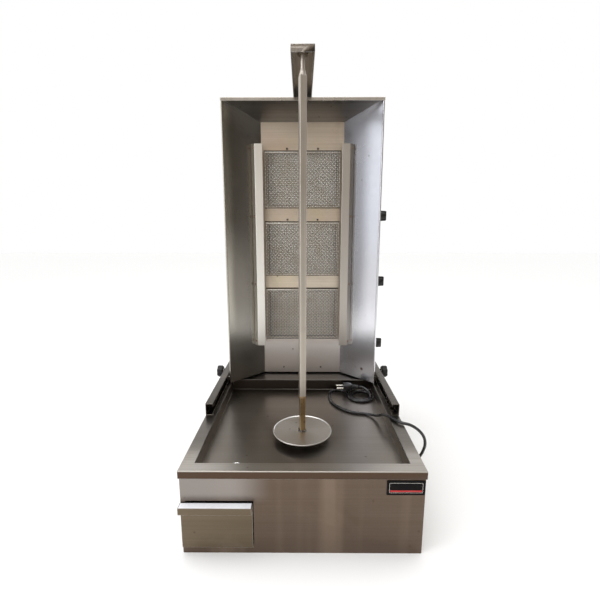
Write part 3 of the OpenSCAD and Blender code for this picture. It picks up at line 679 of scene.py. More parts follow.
# The rail's pale edge colour is a painted highlight on its lit edges.
steel("rail_steel", (0.11, 0.095, 0.078), (0.06, 0.051, 0.041), ALONG_Y, stain_share=0.4,
      edge=(0.34, 0.31, 0.26))
steel("drawer_steel", (0.185, 0.145, 0.10), (0.12, 0.092, 0.062), contrast=0.7, smooth=0.3,
      rough=0.42, stain_share=0.4)
steel("bottom_steel", (0.40, 0.39, 0.37), (0.27, 0.26, 0.25))
print("finishes", len(finishes))

# %% Steels of the turntable and spit
steel("disc_steel", (0.72, 0.70, 0.67), (0.64, 0.62, 0.59), contrast=0.5, smooth=0.28,
      rough=0.36, stain_share=0.1, relief=0.02)
steel("spit_steel", (0.60, 0.54, 0.47), (0.38, 0.34, 0.29), ALONG_Z, smooth=0.30, rough=0.45,
      stretched=0.3)
steel("stub_steel", (0.52, 0.38, 0.20), (0.26, 0.17, 0.08), ALONG_Z, contrast=1.6, smooth=0.3,
      rough=0.5, stain=(0.12, 0.07, 0.03), stain_share=0.8, stain_size=60.0, stretched=0)
steel("shaft_steel", (0.55, 0.54, 0.52), (0.38, 0.37, 0.36), ALONG_Z, smooth=0.12, rough=0.25)
print("finishes", len(finishes))

# %% Steels of the tower
steel("housing_steel", (0.60, 0.57, 0.52), (0.42, 0.39, 0.35), ALONG_Z)
steel("panel_steel", (0.68, 0.60, 0.50), (0.50, 0.43, 0.35), smooth=0.30, rough=0.42,
      local_tint=heat_tint)
steel("wing_steel", (0.66, 0.66, 0.69), (0.56, 0.56, 0.59), smooth=0.20, rough=0.28,
      contrast=0.6, stain_share=0.12, stretched=0, relief=0.0, local_tint=wing_bands)
steel("hood_steel", (0.25, 0.24, 0.23), (0.16, 0.15, 0.14), smooth=0.24, rough=0.34,
      stretched=0.2)
steel("guard_steel", (0.66, 0.62, 0.55), (0.52, 0.48, 0.42), ALONG_Z, smooth=0.26, rough=0.38,
      stretched=0.3, local_tint=bright_left)
steel("arm_steel", (0.27, 0.23, 0.19), (0.16, 0.132, 0.105), ALONG_Y, contrast=1.3, smooth=0.3,
      rough=0.45, stain_share=0.6, stain_size=40.0)
steel("guide_steel", (0.55, 0.51, 0.45), (0.38, 0.35, 0.30))
steel("carriage_steel", (0.42, 0.39, 0.34), (0.26, 0.24, 0.21), ALONG_Y)
print("finishes", len(finishes))

# %% Steels of the fittings
steel("screw_steel", (0.16, 0.13, 0.10), (0.06, 0.05, 0.04), smooth=0.3, rough=0.5, stretched=0)
steel("pipe_steel", (0.36, 0.34, 0.32), (0.22, 0.21, 0.20), ALONG_Z, smooth=0.35, rough=0.5,
      stretched=0)
steel("chrome_steel", (0.80, 0.80, 0.80), (0.66, 0.66, 0.66), smooth=0.08, rough=0.16,
      stretched=0)
steel("rust_screw", (0.45, 0.30, 0.20), (0.20, 0.11, 0.06), smooth=0.4, rough=0.6,
      contrast=2.0, stain=(0.14, 0.06, 0.02), stain_share=0.9, stain_size=160.0, stretched=0)
print("finishes", len(finishes))

# %% [markdown]
# ## Moulded and cast finishes
# Plastic has a faint moulded texture, and its gloss varies with handling and
# dust. Paint, rubber, brass and cast iron differ from it only in the size of
# the grain, the gloss and whether they are metal, so one maker serves them all.

# %% Moulded skin
moulded, given, made = new_group(
    "moulded_skin",
    [("Size", FLOAT, 700.0), ("Colour", COLOUR, (0.02, 0.02, 0.02, 1)),
     ("Dust", COLOUR, (0.2, 0.19, 0.17, 1)), ("Dustiness", FLOAT, 0.2),
     ("Smooth", FLOAT, 0.25), ("Rough", FLOAT, 0.5)],
    [("Colour", COLOUR), ("Roughness", FLOAT), ("Grain", FLOAT)])
place = own_place(moulded)
grain = noise(moulded, place, given.outputs["Size"], 2.0)
cover = noise(moulded, place, 55.0, 4.0)
dusty = maths(moulded, "MULTIPLY", spread(moulded, cover, 0.45, 0.75),
              given.outputs["Dustiness"])
dusted = blend_colour(moulded, dusty, given.outputs["Colour"], given.outputs["Dust"])
gloss = spread(moulded, cover, 0.3, 0.7, given.outputs["Smooth"], given.outputs["Rough"],
               ease="LINEAR")
moulded.links.new(dusted, made.inputs["Colour"])
moulded.links.new(gloss, made.inputs["Roughness"])
moulded.links.new(grain, made.inputs["Grain"])
print("moulded_skin", len(moulded.nodes), "nodes")


# %% Moulded finish maker
def plastic(name, colour, dust=(0.20, 0.19, 0.17), dustiness=0.2, smooth=0.25, rough=0.45,
            size=700.0, relief=0.15, coat=0.0, metallic=0.0, shine=0.5):
    """A moulded, painted or cast finish, lighter along its edges."""
    tree, shader = new_finish(name)
    surface = use_group(tree, moulded, Size=size, Colour=(*colour, 1), Dust=(*dust, 1),
                        Dustiness=dustiness, Smooth=smooth, Rough=rough)
    edges = use_group(tree, worn_and_lit, Width=0.0006, Strength=0.35)
    lighter = tuple(min(1, level * 1.6 + 0.03) for level in colour)
    tree.links.new(tint(tree, surface.outputs["Colour"], edges.outputs["Mask"], lighter),
                   shader.inputs["Base Color"])
    tree.links.new(surface.outputs["Roughness"], shader.inputs["Roughness"])
    raised(tree, shader, surface.outputs["Grain"], relief, 0.0003,
           Normal=edges.outputs["Normal"])
    shader.inputs["Coat Weight"].default_value = coat
    shader.inputs["Specular IOR Level"].default_value = shine
    shader.inputs["Metallic"].default_value = metallic


# %% Badge, knobs and painted reflection
plastic("badge_plastic", (0.010, 0.009, 0.009), smooth=0.2, rough=0.35, relief=0.05,
        dustiness=0.02, shine=0.03)
plastic("badge_silver", (0.62, 0.60, 0.56), smooth=0.2, rough=0.35, metallic=1.0)
plastic("badge_red", (0.50, 0.012, 0.012), smooth=0.15, rough=0.3)
plastic("knob_plastic", (0.010, 0.009, 0.009), dustiness=0.15, smooth=0.28, rough=0.5,
        shine=0.3)
plastic("knob_mark", (0.75, 0.74, 0.70), smooth=0.4, rough=0.6)
# A near-white finish that paints the reflection on the handle's top.
plastic("reflection_white", (0.86, 0.87, 0.90), dust=(0.6, 0.6, 0.62), dustiness=0.3, smooth=0.2,
        rough=0.35, relief=0.05)
print("finishes", len(finishes))

# %% Cord, plug, switch and wiring
plastic("cord_rubber", (0.012, 0.012, 0.013), dustiness=0.12, smooth=0.2, rough=0.36,
        relief=0.08)
plastic("plug_plastic", (0.014, 0.014, 0.015), smooth=0.22, rough=0.42)
plastic("pin_brass", (0.74, 0.72, 0.66), dust=(0.45, 0.38, 0.25), smooth=0.16, rough=0.3,
        relief=0.03, metallic=1.0)
plastic("gland_plastic", (0.014, 0.014, 0.015), smooth=0.3, rough=0.5)
plastic("block_plastic", (0.72, 0.69, 0.60), smooth=0.25, rough=0.4)
plastic("lead_plastic", (0.42, 0.03, 0.02), smooth=0.3, rough=0.4)
plastic("switch_plastic", (0.015, 0.015, 0.016), smooth=0.2, rough=0.4)
plastic("rocker_plastic", (0.50, 0.02, 0.015), smooth=0.15, rough=0.3, relief=0.05, coat=0.4)
print("finishes", len(finishes))

# %% Cast, painted and turned parts
plastic("gearbox_alloy", (0.30, 0.30, 0.31), smooth=0.4, rough=0.6, size=350.0, relief=0.4,
        metallic=1.0)
plastic("motor_paint", (0.035, 0.04, 0.05), smooth=0.3, rough=0.5, size=250.0)
plastic("bearing_brass", (0.62, 0.44, 0.20), dust=(0.25, 0.17, 0.08), dustiness=0.6,
        metallic=1.0)
plastic("bush_bronze", (0.14, 0.105, 0.07), smooth=0.4, rough=0.6, metallic=1.0)
plastic("burner_iron", (0.16, 0.15, 0.14), smooth=0.45, rough=0.65, size=300.0, relief=0.5,
        metallic=1.0)
plastic("valve_brass", (0.60, 0.45, 0.22), dust=(0.28, 0.20, 0.10), dustiness=0.5,
        metallic=1.0)
# This near-black finish paints the shade in the gaps above and below each burner.
plastic("shade_strip_black", (0.018, 0.016, 0.014), smooth=0.6, rough=0.8)
print("finishes", len(finishes))

# %% [markdown]
# ## Ceramic
# A plaque glows through holes a little over a millimetre wide, set 2.2 apart. Cutting them would
# take many thousands of real holes. The distance to the nearest cell centre draws them instead,
# with painted shade inside and a small step.

# %% Ceramic
holes_a_metre = 455.0
tree, shader = new_finish("ceramic")
grid = stretched_place(tree, own_place(tree), (holes_a_metre, 0.0, holes_a_metre))
cell = put(tree, "VectorMath", {0: grid}, operation="FRACTION").outputs[0]
away = distance(tree, cell, (0.5, 0.0, 0.5))
hole = spread(tree, away, 0.22, 0.34, 1.0, 0.0)
scorch = use_group(tree, patches, Size=16.0, From=0.46, To=0.70).outputs["Mask"]
clay = tint(tree, (0.88, 0.83, 0.74, 1), scorch, (0.70, 0.57, 0.38), 0.6)
# Painted shade inside each hole.
tree.links.new(tint(tree, clay, hole, (0.16, 0.12, 0.08), 0.45), shader.inputs["Base Color"])
tree.links.new(spread(tree, away, 0.2, 0.4, 0.95, 0.75), shader.inputs["Roughness"])
raised(tree, shader, away, 0.5, 0.0006)
print("ceramic", len(tree.nodes), "nodes")

# %% [markdown]
# ## Mesh wire
# The wire has been red hot many times, so it is dull and a little brown. The parts that dip
# behind their neighbours get painted shade, which a mask of depth gives from every side alike,
# so the proud parts look lighter.

# %% Wire
cloth_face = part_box("mesh_screen_1")[0].y
tree, shader = new_finish("mesh_wire")
scorch = use_group(tree, patches, Size=22.0, From=0.48, To=0.72).outputs["Mask"]
surface = use_group(tree, moulded, Size=900.0, Colour=(1.0, 0.97, 0.92, 1),
                    Dust=(0.80, 0.72, 0.60, 1), Dustiness=0.5, Smooth=0.3, Rough=0.5)
colour = tint(tree, surface.outputs["Colour"], scorch, (0.34, 0.24, 0.14), 0.6)
dipped_wire_shade = slab(tree, "Y", cloth_face - 0.0004, cloth_face + 0.0004)
# Painted shade where the wire dips behind its neighbours.
tree.links.new(tint(tree, colour, dipped_wire_shade, (0.24, 0.215, 0.18)), shader.inputs["Base Color"])
tree.links.new(surface.outputs["Roughness"], shader.inputs["Roughness"])
raised(tree, shader, surface.outputs["Grain"], 0.2, 0.0002)
shader.inputs["Metallic"].default_value = 0.25
print("mesh_wire", len(tree.nodes), "nodes")

# %% [markdown]
# ## Dressing the frame
# The record already names a finish for every exact piece, so each one gets
# the material of that name. Only the arm's bush differs: it shares the
# bearing's slot, and here it is the darker bronze of an oiled bush.


# %% Materials on the exact pieces
def wear(piece, finish):
    """Gives a piece its material."""
    piece.data.materials.clear()
    piece.data.materials.append(finishes[finish])
    return piece


worn_by = {entry["node"]: entry["material_slot"] for entry in frame["record"]["subparts"]}
worn_by["arm_bush"] = "bush_bronze"
for node_name, node in nodes.items():
    wear(node, worn_by[node_name])
for piece, finish in ((cord, "cord_rubber"), (plug, "plug_plastic"),
                      (plug_prongs, "pin_brass"), (gland, "gland_plastic")):
    wear(piece, finish)
print("dressed", len(nodes), "exact pieces")

# %% [markdown]
# ## Folded sheet
# A press leaves a fold with an outside radius of about the sheet's thickness,
# and that rounding is what catches the light along every edge. So the big
# panels are copied, the folds of the copy are beveled, and it stands for the
# exact panel, which keeps its own shape. Faces that were split into triangles
# are joined again first, because a bevel needs the real edges. On the drawer
# and the arm the cut edges are rubbed smooth too, by a hair.

# %% Folded copies
def make_piece(name, bm, smooth_angle, finish, body, slot, *stands_for):
    """A finished piece from a bmesh, dressed and on its body."""
    piece = wear(from_bmesh(name, bm, smooth_angle), finish)
    return fit_out(piece, body, slot, *stands_for)


def folded(name, source, finish, radius, is_fold, hair=0.0, steps=3):
    """A copy of an exact panel with rounded folds, in its place."""
    bm = bmesh.new()
    bm.from_mesh(nodes[source].data)
    bmesh.ops.remove_doubles(bm, verts=bm.verts, dist=0.000002)
    bmesh.ops.dissolve_limit(bm, angle_limit=math.radians(2), verts=bm.verts, edges=bm.edges)
    sharp = [edge for edge in bm.edges if len(edge.link_faces) == 2
             and edge.calc_face_angle(0) > math.radians(30)]
    folds = [edge for edge in sharp if is_fold(*[corner.co for corner in edge.verts])]
    cuts = [edge for edge in sharp if edge not in folds]
    bmesh.ops.bevel(bm, geom=folds, offset=radius, segments=steps, affect="EDGES",
                    profile=0.5, clamp_overlap=True)
    if hair:
        cuts = [edge for edge in cuts if edge.is_valid]
        bmesh.ops.bevel(bm, geom=cuts, offset=hair, segments=1, affect="EDGES",
                        profile=0.5, clamp_overlap=True)
    print(name, "folds", len(folds))
    return make_piece(name, bm, 50, finish, nodes[source]["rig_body"], finish, source)


def along(a, b, axis):
    """True if the edge a-b runs along one axis."""
    return (b - a).length - abs(b[axis] - a[axis]) < 0.00001


def near(value, *levels):
    return any(abs(value - level) < 0.00005 for level in levels)


X, Y, Z = range(3)

# %% [markdown]
# ### Base and basin
# The deck is one sheet: its lip is folded down round the outside, and the
# basin is folded down inside. Those are the folds that show, with the long
# upright corners of the shell below.

# %% Base panels
rim_inner = tray_high.x - 0.026
basin_front, basin_rear = -0.274, 0.124


def deck_fold(a, b):
    top = near(a.z, tray_high.z) and near(b.z, tray_high.z)
    corner = along(a, b, Z) and (near(abs(a.x), tray_high.x) or near(a.y, tray_low.y))
    on_floor = near(a.z, basin_floor) and near(b.z, basin_floor) and not along(a, b, Z)
    at_wall = near(abs(a.x), rim_inner) or near(a.y, basin_front, basin_rear)
    return top or corner or (on_floor and at_wall)


def shell_corner(a, b):
    return along(a, b, Z) and near(abs(a.x), shell_high.x) and (b - a).length > 0.1


folded("deck_sheet", "drip_tray", "tray_steel", 0.0016, deck_fold)
folded("shell_sheet", "base_shell", "base_steel", 0.0018, shell_corner)

# %% [markdown]
# ### Drawer
# The drawer's handle is the most handled fold of all, so its roundings are full. Its top carries
# a painted reflection: a thin white sheet of its own, laid over just this strip.

# %% Drawer
drawer_low, drawer_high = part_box("drawer_front")
reflection_sheet_thickness = 0.0001
reflection_left, reflection_right = drawer_low.x + 0.001, drawer_high.x - 0.001
reflection_front, reflection_rear = drawer_low.y + 0.0012, -0.3
reflection_z = drawer_high.z + reflection_sheet_thickness


def handle_fold(a, b):
    return along(a, b, X) and a.z > drawer_high.z - 0.0002


folded("drawer_sheet", "drawer_front", "drawer_steel", 0.0016, handle_fold, hair=0.0002)
# Painted reflection: a thin white sheet on the handle's top.
reflection_sheet = bmesh.new()
reflection_sheet.faces.new([reflection_sheet.verts.new((x, y, reflection_z)) for x, y in (
    (reflection_left, reflection_front), (reflection_right, reflection_front),
    (reflection_right, reflection_rear), (reflection_left, reflection_rear))])
reflection_piece = make_piece("handle_painted_reflection", reflection_sheet, None, "reflection_white", "drawer", "drawer_steel")
reflection_piece.modifiers.new("thickness", "SOLIDIFY").thickness = reflection_sheet_thickness

# %% [markdown]
# ### Rails, guard strips, roof, arm and straps
# The rails and the arm are channels, and the guard strips and straps are
# narrow bent strips. Each has only a few long folds, and a short test of an
# edge's direction and place finds them.

# %% Folds of the channels
rail_low, rail_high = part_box("right_rail")
guard_low, guard_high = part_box("right_guard_strip")
roof_low, roof_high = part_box("roof_panel")
arm_low, arm_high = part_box("arm_channel")
strap_low, strap_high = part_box("arm_guides")


def rail_fold(a, b):
    return along(a, b, Y) and (b - a).length > 0.3 and near(a.z, rail_low.z, rail_high.z)


def guard_fold(a, b):
    return along(a, b, Z) and a.y < guard_low.y + 0.0001


def roof_fold(a, b):
    return along(a, b, X) and a.z > roof_high.z - 0.0005 and a.y < roof_low.y + 0.004


def arm_fold(a, b):
    on_top = near(a.z, arm_high.z) and near(b.z, arm_high.z)
    return on_top and (abs(a.x) > 0.02 or a.y < arm_low.y + 0.001)


def strap_fold(a, b):
    return along(a, b, Y) and near(a.z, strap_high.z)


# %% Channels and strips
for side in ("left", "right"):
    folded(f"{side}_rail_sheet", f"{side}_rail", "rail_steel", 0.0014, rail_fold)
    folded(f"{side}_guard_sheet", f"{side}_guard_strip", "guard_steel", 0.001, guard_fold,
           steps=2)
folded("roof_sheet", "roof_panel", "housing_steel", 0.0014, roof_fold)
folded("arm_sheet", "arm_channel", "arm_steel", 0.0016, arm_fold, hair=0.0002)
folded("guide_straps", "arm_guides", "guide_steel", 0.001, strap_fold, steps=2)

# %% [markdown]
# ## Turntable
# The plate is a spun disc with its edge turned up and rolled over, so it is
# one closed profile swept round the spit's axis. The bright roll of the edge
# needs only four points more than a plain rim.

# %% Turntable plate
disc_low, disc_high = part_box("turntable_plate")
axis = middle(disc_low, disc_high)
disc_radius = (disc_high.x - disc_low.x) / 2
hub_radius = 0.0092
plate_face = disc_high.z - 0.0018
plate_profile = [(disc_low.z, hub_radius)]
for height, inset in [
        (disc_low.z, 0.0035), (disc_low.z + 0.0003, 0.0018), (disc_low.z + 0.0010, 0.0006),
        (disc_low.z + 0.0022, 0.0), (disc_high.z - 0.0006, 0.0001),
        (disc_high.z - 0.0001, 0.0005), (disc_high.z, 0.0009), (disc_high.z - 0.0001, 0.0013),
        (disc_high.z - 0.0006, 0.0017), (plate_face + 0.0003, 0.0024), (plate_face, 0.0036),
        (plate_face, disc_radius / 2)]:
    plate_profile.append((height, disc_radius - inset))
plate_profile.append((plate_face, hub_radius))
plate = turn(bmesh.new(), plate_profile, (axis.x, axis.y, 0), "z", 128, "joined")
make_piece("turntable_disc", plate, 40, "disc_steel", "turntable", "disc_steel",
           "turntable_plate")
print("disc radius", round(disc_radius, 4))

# %% [markdown]
# ## Spit
# The spit is a square tube with rounded corners, welded to a thinner stub that
# has gone straw and brown from the fat and the heat. Tube and stub are lofts
# of a rounded square, turned a little, as the motor happened to stop.

# %% Square bars of the spit
spit_low, spit_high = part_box("spit_tube")
stub_low, stub_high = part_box("spit_stub")
spit_turn = math.radians(13)
corner_steps = 4


def on_spit(u, v, z):
    """A point given across the turned spit."""
    return Vector((axis.x + u * math.cos(spit_turn) - v * math.sin(spit_turn),
                   axis.y + u * math.sin(spit_turn) + v * math.cos(spit_turn), z))


def square_outline(width, corner):
    """A square with rounded corners."""
    half = width / 2
    radius = min(corner, half * 0.8)
    outline = []
    for quarter in range(4):
        centre_u = (half - radius) * (1 if quarter in (0, 3) else -1)
        centre_v = (half - radius) * (1 if quarter in (0, 1) else -1)
        for step in range(corner_steps + 1):
            angle = math.pi / 2 * (quarter + step / corner_steps)
            outline.append((centre_u + radius * math.cos(angle),
                            centre_v + radius * math.sin(angle)))
    return outline


def square_bar(stations, corner):
    """A bar on the spit's axis through (z, width) stations."""
    return loft(bmesh.new(), [(z, square_outline(width, corner)) for z, width in stations],
                on_spit)


# %% Tube and stub
tube_stations = [(spit_low.z, 0.0136), (spit_low.z + 0.0004, 0.014), (spit_low.z + 0.3, 0.014),
                 (spit_high.z - 0.004, 0.014), (spit_high.z - 0.0012, 0.0136),
                 (spit_high.z, 0.0128)]
stub_stations = [(stub_low.z, 0.0108), (stub_low.z + 0.0012, 0.012), (spit_low.z, 0.012),
                 (stub_high.z, 0.0118)]
make_piece("spit_square_tube", square_bar(tube_stations, 0.0016), 35, "spit_steel", "spit",
           "spit_steel", "spit_tube")
make_piece("spit_drive_stub", square_bar(stub_stations, 0.0009), 35, "stub_steel", "spit",
           "stub_steel", "spit_stub")
print("spit from", round(stub_low.z, 3), "to", round(spit_high.z, 3))

# %% [markdown]
# ### Weld bead and foot ring
# A hand weld is never even. The bead is a few rings round the joint, swollen
# in the middle, and every corner of them is moved a little at random. The
# seed is fixed, so the bead is the same each time. A dark square ring on the
# plate shows where the stub goes down into the drive shaft's socket.

# %% Weld
random.seed(7)
bead_corners = 48
bead_half = 0.0064
bead_pitch = 0.0013
bead_start = spit_low.z - 0.0044
bead_rings = []
for number, swell in enumerate((0.0, 0.0010, 0.0014, 0.0012, 0.0002)):
    ring = []
    for k in range(bead_corners):
        angle = 2 * math.pi * k / bead_corners
        c, s = math.cos(angle), math.sin(angle)
        squareness = max(abs(c), abs(s)) ** 0.8
        reach = bead_half / squareness + swell + random.uniform(-0.0003, 0.0003)
        height = bead_start + number * bead_pitch + random.uniform(-0.0002, 0.0002)
        ring.append(on_spit(reach * c, reach * s, height))
    bead_rings.append(ring)
weld = bmesh.new()
skin(weld, [[weld.verts.new(point) for point in ring] for ring in bead_rings])
make_piece("spit_weld", weld, 180, "stub_steel", "spit", "stub_steel")
print("weld rings", len(bead_rings))

# %% Foot ring
ring_stations = [(plate_face + 0.0002, 0.0150), (plate_face + 0.0004, 0.0158),
                 (plate_face + 0.0020, 0.0158), (plate_face + 0.0024, 0.0146)]
make_piece("spit_foot_ring", square_bar(ring_stations, 0.001), 35, "screw_steel", "turntable",
           "disc_steel")
print("foot ring at", round(plate_face, 4))

# %% [markdown]
# ## Woven screens
# Each screen is a real plain weave: one set of wires goes over and under the
# other, and a wire's height is a wave with one turn for two crossings. That
# weave is what gives the slanting shimmer, which no flat picture would keep
# from the side. Five corners are enough for so thin a wire.

# %% Woven screen
wire_radius = 0.00085
wire_pitch = 0.0049
wire_depth = 0.0010
cloth_margin = 0.003
level_swing, upright_swing = 0.00095, 0.00035
wire_angles = (0.3, 1.55, 2.81, 4.07, 5.32)


def wire(bm, points, across):
    """Adds one wire through the points, with an open round section."""
    section = [wire_radius * (math.cos(angle) * Vector((0, 1, 0)) + math.sin(angle) * across)
               for angle in wire_angles]
    skin(bm, [[bm.verts.new(point + offset) for offset in section] for point in points], "open")


def wave(number, step):
    """The height of a wire at each half pitch: over, level, under, level."""
    return math.cos(math.pi * (number + step / 2))


def weave(low, high):
    """A plain weave of level and upright wires in a screen's box."""
    bm = bmesh.new()
    centre = middle(low, high)
    depth = low.y + wire_depth
    half = wire_pitch / 2
    columns = int((high.x - low.x - cloth_margin) / wire_pitch)
    rows = int((high.z - low.z - cloth_margin) / wire_pitch)
    left, bottom = centre.x - columns * half, centre.z - rows * half
    for row in range(rows + 1):
        z = bottom + row * wire_pitch + random.uniform(-0.0002, 0.0002)
        wire(bm, [Vector((left + step * half, depth - level_swing * wave(row, step), z))
                  for step in range(-1, 2 * columns + 2)], Vector((0, 0, 1)))
    for column in range(columns + 1):
        x = left + column * wire_pitch + random.uniform(-0.0001, 0.0001)
        wire(bm, [Vector((x, depth + upright_swing * wave(column, step), bottom + step * half))
                  for step in range(-1, 2 * rows + 2)], Vector((1, 0, 0)))
    return bm


# %% [markdown]
# ### Screen trim
# The cloth is held by a strip over its top and a narrow bar and two clips at each side. Behind
# it, a bright inner frame borders the plaques, and black strips of painted shade fill the gaps
# above and below, against the burner plate. All are small bars, so one helper makes a bar with
# beveled edges, because a sharp edge never shows a highlight.

# %% Small bars
def bar(bm, low, high, bevel=0.0003):
    """Adds a small beveled bar to a bmesh."""
    corners = [bm.verts.new((x, y, z)) for x in (low[0], high[0])
               for y in (low[1], high[1]) for z in (low[2], high[2])]
    for quad in ((0, 1, 3, 2), (4, 6, 7, 5), (0, 4, 5, 1), (2, 3, 7, 6), (0, 2, 6, 4),
                 (1, 5, 7, 3)):
        bm.faces.new([corners[i] for i in quad])
    edges = list({edge for corner in corners for edge in corner.link_edges})
    bmesh.ops.bevel(bm, geom=edges, offset=bevel, segments=2, affect="EDGES", profile=0.5)


def screen_trim(low, high):
    """The top strip, the side bars and the four clips of a screen."""
    trim = bmesh.new()
    bar(trim, (low.x, low.y + 0.0002, high.z - 0.0042),
        (high.x, low.y + 0.0014, high.z - 0.0012))
    for side in (-1, 1):
        edge_x = side * (high.x - 0.0009)
        clip_x = side * (high.x - 0.004)
        bar(trim, (edge_x - 0.0007, low.y + 0.0002, low.z + 0.001),
            (edge_x + 0.0007, low.y + 0.0016, high.z - 0.004))
        for z in (low.z + 0.003, high.z - 0.003):
            bar(trim, (clip_x - 0.0015, low.y + 0.001, z - 0.0015),
                (clip_x + 0.0015, high.y, z + 0.0015))
    return trim


def plaque_frame(low, high):
    """The bright inner frame round the two plaques, seen through the cloth."""
    inner = bmesh.new()
    half_width, half_height, half_bar = 0.0868, 0.0618, 0.0007
    front, back = high.y - 0.0036, high.y - 0.0022
    mid_z = middle(low, high).z
    reach = half_height + half_bar
    for side in (-1, 1):
        x = side * half_width
        z = mid_z + side * half_height
        bar(inner, (x - half_bar, front, mid_z - reach), (x + half_bar, back, mid_z + reach))
        bar(inner, (-half_width, front, z - half_bar), (half_width, back, z + half_bar))
    return inner


def burner_shade_strips(low, high):
    """Black strips of painted shade above and below a burner, against its plate."""
    shade_strips = bmesh.new()
    left, right, back = low.x - 0.002, high.x + 0.002, high.y - 0.0001
    bar(shade_strips, (left, high.y - 0.0022, high.z + 0.0002), (right, back, high.z + 0.0026))
    bar(shade_strips, (left, high.y - 0.0016, low.z - 0.0016), (right, back, low.z - 0.0002))
    return shade_strips


# %% Screens and trim
for number in (1, 2, 3):
    low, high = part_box(f"mesh_screen_{number}")
    make_piece(f"woven_screen_{number}", weave(low, high), 180, "mesh_wire", "tower",
               "mesh_wire", f"mesh_screen_{number}")
    make_piece(f"screen_trim_{number}", screen_trim(low, high), 40, "guard_steel", "tower",
               "guard_steel")
    make_piece(f"plaque_frame_{number}", plaque_frame(low, high), 40, "chrome_steel", "tower",
               "guard_steel")
    # Painted shade: black strips in the gaps above and below each burner.
    make_piece(f"burner_shade_strips_{number}", burner_shade_strips(low, high), 40, "shade_strip_black", "tower",
               "screw_steel")
    print("screen", number, "at", round(middle(low, high).z, 3))

# %% [markdown]
# ## Burner knobs
# A gas knob is a skirt with a waisted grip bar across it. The skirt and hub
# are turned, and the bar is a loft with a crowned top, narrow where fingers
# hold it. A pale mark on its face shows the setting.

# %% Burner knobs
panel_low, panel_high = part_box("side_panels")
skirt_x = panel_high.x + 0.003
ridge_corners = 32


def tap_knob(low, high):
    """Skirt, hub and grip ridge of one burner knob."""
    bm = bmesh.new()
    y, z = middle(low, high).y, middle(low, high).z
    skirt = (high.y - low.y) / 2
    skirt_profile = [(0.0, 0.9), (0.0008, 1.0), (0.0042, 1.0), (0.0058, 0.96), (0.0068, 0.86),
                     (0.0074, 0.74), (0.0240, 0.70), (0.0300, 0.66), (0.0318, 0.56),
                     (0.0322, 0.3)]
    hub_profile = [(low.x - skirt_x, 0.0037), (0.0004, 0.0039)]
    ridge = [(0.0050, 0.0030, 0.90), (0.0062, 0.0035, 0.97), (0.0200, 0.0030, 0.95),
             (0.0320, 0.0031, 0.90), (0.0342, 0.0026, 0.86), (0.0350, 0.0016, 0.78)]
    turn(bm, [(out, share * skirt) for out, share in skirt_profile], (skirt_x, y, z), count=48)
    turn(bm, hub_profile, (skirt_x, y, z), count=24)
    loft(bm, [(out, rounded_outline(half, share * skirt, 5, ridge_corners))
              for out, half, share in ridge],
         lambda u, v, out: Vector((skirt_x + out, y + u, z + v)))
    return bm


def tap_mark(low, high):
    """The pale line on a knob's face."""
    mark = bmesh.new()
    y, z = middle(low, high).y, middle(low, high).z
    skirt = (high.y - low.y) / 2
    bar(mark, (skirt_x + 0.0346, y - 0.0005, z + skirt * 0.25),
        (skirt_x + 0.0352, y + 0.0005, z + skirt * 0.74), 0.0001)
    return mark


for number in (1, 2, 3):
    low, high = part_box(f"burner_knob_{number}")
    make_piece(f"tap_knob_{number}", tap_knob(low, high), 38, "knob_plastic",
               f"knob_{number}", "knob_plastic", f"burner_knob_{number}")
    make_piece(f"tap_mark_{number}", tap_mark(low, high), 40, "knob_mark",
               f"knob_{number}", "knob_plastic")
    print("burner knob", number, "at", round(middle(low, high).z, 3))

# %% [markdown]
# ## Lock knobs
# The lock knobs are six-lobed stars moulded round a plated bush, on a threaded
# stud. The star is a loft whose rim is rounded over in several steps. The
# stud's thread is shown as rings, because a real helix looks the same at this
# size and costs far more faces.

# %% Star, stud and bush
star_corners = 72
star_lobes = 6
lobe_depth = 0.10
star_x = rail_high.x + 0.0015
thread_pitch = 0.00125
thread_radius, thread_root = 0.0040, 0.0034


def star_knob(sign, y, z, outer):
    """A lobed knob that faces outwards, with a rounded rim and a sunk face."""
    bm = bmesh.new()
    rings = []
    for out, share in [(0.0, 0.86), (0.0010, 0.95), (0.0030, 0.995), (0.0120, 1.0),
                       (0.0148, 0.965), (0.0164, 0.88), (0.0169, 0.72), (0.0166, 0.45)]:
        ring = []
        for k in range(star_corners):
            angle = 2 * math.pi * k / star_corners
            lobe = 1 - lobe_depth + lobe_depth * math.cos(star_lobes * (angle - math.pi / 2))
            reach = outer * lobe * share
            ring.append(bm.verts.new((sign * (star_x + out), y + reach * math.cos(angle),
                                      z + reach * math.sin(angle))))
        rings.append(ring)
    skin(bm, rings)
    return bm


def stud_profile(length):
    """A stud with thread rings, from its tip into the knob."""
    profile = [(0.0, 0.0036), (0.0008, thread_radius)]
    for number in range(int((length - 0.002) / thread_pitch)):
        start = 0.0010 + number * thread_pitch
        profile += [(start, thread_radius), (start + 0.0006, thread_root),
                    (start + 0.0011, thread_radius)]
    profile.append((length + 0.0004, thread_radius))
    return profile


bush_profile = [(0.0, 0.0075), (0.0004, 0.0082), (0.0011, 0.0082), (0.0014, 0.0070)]

